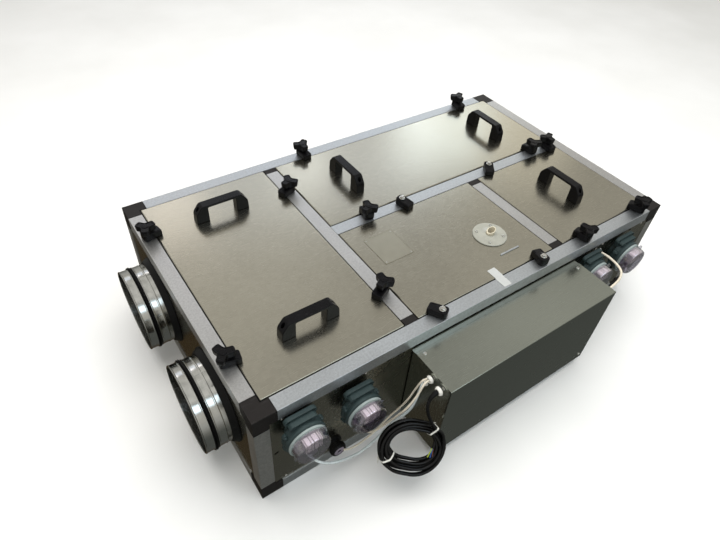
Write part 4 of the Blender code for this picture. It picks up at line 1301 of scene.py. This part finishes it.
# ---- control box, its glands and the sensor cables ------------
def make_control_box():
    low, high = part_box("control_cover")
    tray = frame["nodes"]["control_box"]
    tray.data.materials.clear()
    tray.data.materials.append(BOX_SHEET)
    t = SHEET
    step = 0.0016
    line = [(high.y, high.z - step), (high.y - 0.0125, high.z - step), (high.y - 0.0133, high.z),
            (low.y, high.z), (low.y, low.z), (low.y + t, low.z),
            (low.y + t, high.z - t), (high.y - 0.0140, high.z - t),
            (high.y - 0.0132, high.z - step - t), (high.y, high.z - step - t)]
    outline = eased(line, [0, 0.0004, 0.0004, 0.0026, 0, 0, 0.0015, 0.0004, 0.0004, 0], steps=5)
    cover = shell([[(x, y, z) for y, z in outline] for x in (low.x, high.x)])
    bends = []
    for x, sign in ((low.x, 1), (high.x, -1)):
        edge = sorted((x, x + sign * t))
        bends.append(box((edge[0], low.y + t, high.z - 0.007), (edge[1], high.y - 0.016, high.z - t * 0.5),
                         0.0003))
        bends.append(box((edge[0], low.y + t * 0.5, low.z), (edge[1], low.y + 0.0050, high.z - 0.004),
                         0.0003))
    piece("box_cover", gather(cover, *bends), BOX_SHEET, replaces=["control_cover"], sharp=50)
    heads = []
    for x in (low.x + 0.016, high.x - 0.016):
        spot = Matrix.Translation((x, high.y - 0.024, high.z - 0.0002))
        heads.append(put(screw_head(0.0040, 0.0022), spot))
        spot = Matrix.Translation((x, low.y + 0.0002, low.z + 0.018)) @ TO_FRONT
        heads.append(put(screw_head(0.0040, 0.0022), spot))
    piece("box_screws", gather(*heads), ZINC)


def cable(name, knots, radius, finish, replaces=()):
    points = smooth_path([at(*knot) for knot in knots], max(0.004, radius * 2))
    made = lead(name, points, radius, finish)
    if replaces:
        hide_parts(*replaces)


LEFT_ROUTE = [
    (0.352, -0.0605, 0.2290), (0.341, -0.0655, 0.2080), (0.327, -0.0680, 0.1750),
    (0.313, -0.0610, 0.1450), (0.302, -0.0470, 0.1080), (0.288, -0.0400, 0.0700),
    (0.262, -0.0390, 0.0500), (0.225, -0.0420, 0.0450), (0.185, -0.0420, 0.0540),
    (0.150, -0.0410, 0.0730), (0.120, -0.0370, 0.1020), (0.102, -0.0310, 0.1350),
    (0.0930, -0.0290, 0.1600), (0.0910, -0.0290, 0.1700),
]


def make_sensor_cables():
    glands = []
    for y, z, radius in ((-0.060, 0.232, 0.0100), (-0.071, 0.256, 0.0112)):
        base = outward(-1, at(BOX_LEFT, y, z))
        glands.append(put(gland_shape(radius, 0.015, 0.003), base @ Matrix.Translation((0, 0, GAP))))
    glands.append(put(gland_shape(0.0095, 0.014, 0.0033),
                      outward(1, at(BOX_RIGHT, -0.105, 0.257)) @ Matrix.Translation((0, 0, GAP))))
    glands.append(put(gland_shape(0.0090, 0.013, 0.0033), outward(0, at(0.976, 0.0019, 0.268))))
    piece("sensor_glands", gather(*glands), WHITE)
    cable("sensor_cable_left_outer", [(BOX_LEFT - 0.014, -0.0600, 0.2315)] + LEFT_ROUTE, 0.0030,
          TUBE, ["sensor_cable_left"])
    cable("sensor_cable_left_inner",
          [(BOX_LEFT - 0.014, -0.0710, 0.2560), (0.345, -0.0708, 0.2490), (0.3285, -0.0735, 0.2230),
           (0.310, -0.0700, 0.1880), (0.296, -0.0600, 0.1560), (0.286, -0.0480, 0.1230),
           (0.273, -0.0400, 0.1000), (0.253, -0.0370, 0.0960), (0.236, -0.0345, 0.1140),
           (0.2275, -0.0310, 0.1360), (0.225, -0.0300, 0.1520)], 0.0024, SENSOR_SHEATH)
    cable("sensor_cable_wall",
          [(BOX_LEFT - 0.014, -0.0660, 0.2560), (0.347, -0.0620, 0.2480), (0.340, -0.0560, 0.2180),
           (0.329, -0.0520, 0.1830), (0.317, -0.0440, 0.1480), (0.303, -0.0340, 0.1120),
           (0.282, -0.0290, 0.0800), (0.255, -0.0280, 0.0610), (0.225, -0.0290, 0.0560),
           (0.202, -0.0290, 0.0600), (0.188, -0.0270, 0.0670)], 0.0022, SENSOR_SHEATH)
    cable("sensor_cable_right_whole",
          [(BOX_RIGHT + 0.0135, -0.105, 0.257), (0.905, -0.1035, 0.2575), (0.943, -0.098, 0.258),
           (0.975, -0.083, 0.2555), (0.989, -0.060, 0.2555), (0.986, -0.035, 0.262),
           (0.978, -0.019, 0.267), (0.976, -0.0115, 0.268)], 0.0030, SENSOR_SHEATH,
          ["sensor_cable_right"])


def make_grommet():
    """The round black entry low on the front, with a grey plug in its face."""
    base = outward(0, at(0.178, 0.002, 0.067))
    body = turned([(0, -0.001), (0.0205, -0.001), (0.0205, 0.0040), (0.0150, 0.0055),
                   (0.0148, 0.0120), (0.0182, 0.0135), (0.0182, 0.0240), (0.0160, 0.0270),
                   (0.0135, 0.0270), (0.0130, 0.0250), (0, 0.0250)],
                  [0, 0, 0.001, 0.001, 0.001, 0.001, 0.003, 0.001, 0.0004, 0, 0], 64)
    grips = []
    for i in range(18):
        turn = Matrix.Rotation(math.tau * i / 18, 4, "Z")
        grips.append(put(box((0.0177, -0.0012, 0.0145), (0.0190, 0.0012, 0.0230), 0.0004), turn))
    piece("wall_entry", put(gather(body, *grips), base), RUBBER)
    plug = turned([(0.0058, 0.0248), (0.0124, 0.0248), (0.0124, 0.0268), (0.0104, 0.0280),
                   (0.0070, 0.0280), (0.0058, 0.0262)],
                  [0, 0, 0.0005, 0.0006, 0.0004, 0], 40, closed=True)
    piece("wall_entry_plug", put(plug, base), DECK)


# ---- inside ------------
EXCHANGER_SIDE = 0.360
END_PLATE = 0.003
PLATE_PITCH = 0.0045
POST = 0.008            # side of a corner post


def make_exchanger():
    """A stack of square plates, turned 45 degrees in plan, in a case of end plates and posts."""
    low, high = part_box("heat_exchanger")
    middle = (low + high) / 2
    base = Matrix.Translation((middle.x, middle.y, 0)) @ about_z(45)
    half = EXCHANGER_SIDE / 2
    edge = half - POST / 2
    sheets = []
    for i in range(int((high.z - low.z - 2 * END_PLATE) / PLATE_PITCH)):
        z = low.z + END_PLATE + (i + 0.5) * PLATE_PITCH
        sheets.append(put(box((-edge, -edge, z - 0.0004), (edge, edge, z + 0.0004)), base))
    piece("exchanger_plates", gather(*sheets), PLATES, replaces=["heat_exchanger"])
    ends = [put(box((-half, -half, bottom), (half, half, bottom + END_PLATE), 0.0008), base)
            for bottom in (low.z, high.z - END_PLATE)]
    posts = [put(box((x - POST / 2, y - POST / 2, low.z + END_PLATE),
                     (x + POST / 2, y + POST / 2, high.z - END_PLATE), 0.0008), base)
             for x in (-edge, edge) for y in (-edge, edge)]
    piece("exchanger_case", gather(*ends, *posts), ALUMINIUM[2])


FANS = {"exhaust": (0.190, 0.182, 1), "supply": (1.035, 0.496, -1)}


FAN_HALF = 0.030        # half of an impeller's height
FAN_Z = 0.160
BLADES = 11
BLADE_INNER, BLADE_OUTER = 0.047, 0.091
BLADE_SWEEP = 0.55      # radians


def blade_shape(start):
    """One backward-curved blade, 1.8 mm thick, between the disc and the shroud."""
    rings = []
    for z in (-FAN_HALF + 0.002, FAN_HALF - 0.004):
        front, back = [], []
        for i in range(9):
            share = i / 8
            radius = BLADE_INNER + (BLADE_OUTER - BLADE_INNER) * share
            angle = start - BLADE_SWEEP * share
            for side, edge in ((front, 0.0009), (back, -0.0009)):
                side.append((radius * math.cos(angle + edge / radius),
                             radius * math.sin(angle + edge / radius), z))
        rings.append(front + back[::-1])
    return shell(rings)


def make_fans():
    half = FAN_HALF
    for name, (x, y, flow) in FANS.items():
        node = name + "_fan_impeller"
        place = outward(flow, at(x, y, FAN_Z))
        blades = [blade_shape(math.tau * blade / BLADES) for blade in range(BLADES)]
        disc = turned([(0.0, -half), (0.0945, -half), (0.0945, -half + 0.003), (0.046, -half + 0.003),
                       (0.040, half * 0.3), (0.030, half * 0.6), (0.0, half * 0.6)],
                      [0, 0.001, 0.001, 0.004, 0.006, 0.006, 0], 72)
        shroud = turned([(0.066, half - 0.001), (0.070, half - 0.005), (0.0945, half - 0.009),
                         (0.0945, half - 0.007), (0.071, half - 0.003), (0.067, half)],
                        [0, 0.002, 0, 0, 0.002, 0], 72, closed=True)
        wheel = gather(disc, shroud, *blades)
        piece("fan_wheel_" + name, put(wheel, place), BLACK, node, [node])
        motor = turned([(0, -half - 0.0245), (0.030, -half - 0.0245), (0.039, -half - 0.018),
                        (0.039, -half - 0.0005), (0, -half - 0.0005)], [0, 0.003, 0.003, 0, 0], 48)
        piece("fan_motor_" + name, put(motor, place), ZINC, node)
        # The inlet plate takes the darker side sheet, whose colour is painted shade.
        plate = frame["nodes"][name + "_fan_inlet_plate"]
        plate.data.materials.clear()
        plate.data.materials.append(SHADED_SIDE_SHEET)


FILTERS = {"outdoor_air": (0.120, 0.496), "extract_air": (1.105, 0.182)}


def make_filters():
    low, high = 0.030, 0.284
    width, depth, pleats = 0.240, 0.040, 20
    for name, (x, y) in FILTERS.items():
        line = []
        for i in range(2 * pleats + 1):
            across = (width - 0.006) * (i / (2 * pleats) - 0.5)
            line.append(((depth / 2 - 0.004) * (1 if i % 2 else -1), across))
        outline = ([(a - 0.0006, b) for a, b in line] + [(a + 0.0006, b) for a, b in reversed(line)])
        rings = [[at(x + a, y + b, z) for a, b in outline] for z in (low + 0.004, high - 0.004)]
        piece("filter_pleats_" + name, shell(rings), FLEECE, replaces=[name + "_filter"], sharp=60)
        bars = []
        for z0, z1 in ((low, low + 0.0038), (high - 0.0038, high)):
            bars.append(box(at(x - depth / 2, y - width / 2, z0), at(x + depth / 2, y + width / 2, z1),
                            0.0006))
        for y0, y1 in ((-width / 2, -width / 2 + 0.0028), (width / 2 - 0.0028, width / 2)):
            bars.append(box(at(x - depth / 2, y + y0, low + 0.004), at(x + depth / 2, y + y1, high - 0.004),
                            0.0006))
        piece("filter_frame_" + name, gather(*bars), FILM_BOARD)


# ---- floor and light ------------
def area_light(name, place, aim, size, energy, colour):
    data = bpy.data.lights.new(name, "AREA")
    data.shape = "RECTANGLE"
    data.size, data.size_y = size
    data.energy = energy
    data.color = colour
    made = bpy.data.objects.new(name, data)
    made.location = place
    made.rotation_euler = (Vector(aim) - Vector(place)).to_track_quat("-Z", "Y").to_euler()
    bpy.context.scene.collection.objects.link(made)
    return made


def make_floor():
    reach = 30.0
    grid = bmesh.new()
    corners = [(-reach, -reach), (reach, -reach), (reach, reach), (-reach, reach)]
    grid.faces.new([grid.verts.new((x, y, CAD_LOW.z - 0.0004)) for x, y in corners])
    mesh = bpy.data.meshes.new("studio_floor")
    grid.to_mesh(mesh)
    grid.free()
    mesh.materials.append(floor_finish())
    floor = bpy.data.objects.new("studio_floor", mesh)
    bpy.context.scene.collection.objects.link(floor)
    floor.visible_glossy = False


def make_world():
    """Pale above and dark below, brown low towards the back, with soft clouds overhead."""
    world = bpy.data.worlds.new("studio")
    bpy.context.scene.world = world
    n = Nodes(world, "Generated")
    axes = n.add("ShaderNodeSeparateXYZ", {0: n.place}).outputs
    y, z = axes["Y"], axes["Z"]
    sky = n.colours(n.spread(z, -1.0, 1.0, 0.0, 1.0),
                    [(0.0, (0.090, 0.094, 0.088)), (0.22, (0.092, 0.098, 0.090)),
                     (0.34, (0.20, 0.20, 0.185)), (0.50, (0.44, 0.44, 0.42)), (0.60, (0.50, 0.49, 0.46)),
                     (0.72, (0.60, 0.585, 0.54)), (1.0, (0.66, 0.65, 0.62))])
    low_back = n.math("MULTIPLY", n.spread(y, -0.1, 0.5, 0.0, 1.0), n.spread(z, -0.45, -0.65, 0.0, 1.0))
    sky = n.mixed(low_back, sky, (0.048, 0.033, 0.016))
    clouds = n.spread(n.noise(3.4, 1.5, 0.5), 0.34, 0.66, 0.64, 1.16)
    sky = n.shaded(sky, clouds, n.spread(z, 0.15, 0.45, 0.0, 1.0))
    background = n.tree.nodes["Background"]
    n.tree.links.new(sky, background.inputs["Color"])
    background.inputs["Strength"].default_value = 1.0


def make_lights():
    above = area_light("softbox_above", (0.0, 0.1, 2.8), (0, 0, 0.2), (3.2, 2.6), 92, (1.0, 0.985, 0.96))
    above.visible_glossy = False
    area_light("window", (0.80, 2.60, 2.05), (-0.1, 0.1, 0.3), (3.0, 0.85), 5.5, (0.70, 0.80, 1.0))
    area_light("window_right", (3.35, 2.60, 2.30), (0.4, 0.2, 0.3), (1.8, 0.9), 4.0, (1.0, 0.95, 0.82))
    area_light("window_glow", (2.75, 2.60, 2.28), (0.3, 0.2, 0.3), (0.9, 0.45), 2.6, (0.62, 0.80, 1.0))
    area_light("window_spot", (1.19, 2.60, 2.15), (-0.1, 0.3, 0.3), (0.35, 0.25), 0.7, (0.90, 0.95, 1.0))
    area_light("window_corner", (0.00, 2.60, 2.16), (-0.5, 0.3, 0.3), (0.5, 0.3), 0.8, (1.0, 0.88, 0.80))
    area_light("window_front", (0.2, -2.5, 2.8), (0.0, 0.0, 0.2), (3.2, 1.1), 22, (0.68, 0.86, 1.0))
    bpy.context.scene.view_settings.view_transform = "Standard"


make_camera()
make_power_cord()
make_sensor_cables()
make_casing()
divider("long_divider", 1, (0, 1))
divider("cross_divider", 0, (1,))
divider("short_divider", 1, (0, 1))
make_service_panels()
make_side_panels()
make_side_rivets()
make_spigots()
make_handles()
make_clamps()
make_drain()
make_plates()
make_switches()
make_control_box()
make_grommet()
make_exchanger()
make_fans()
make_filters()
make_floor()
make_world()
make_lights()
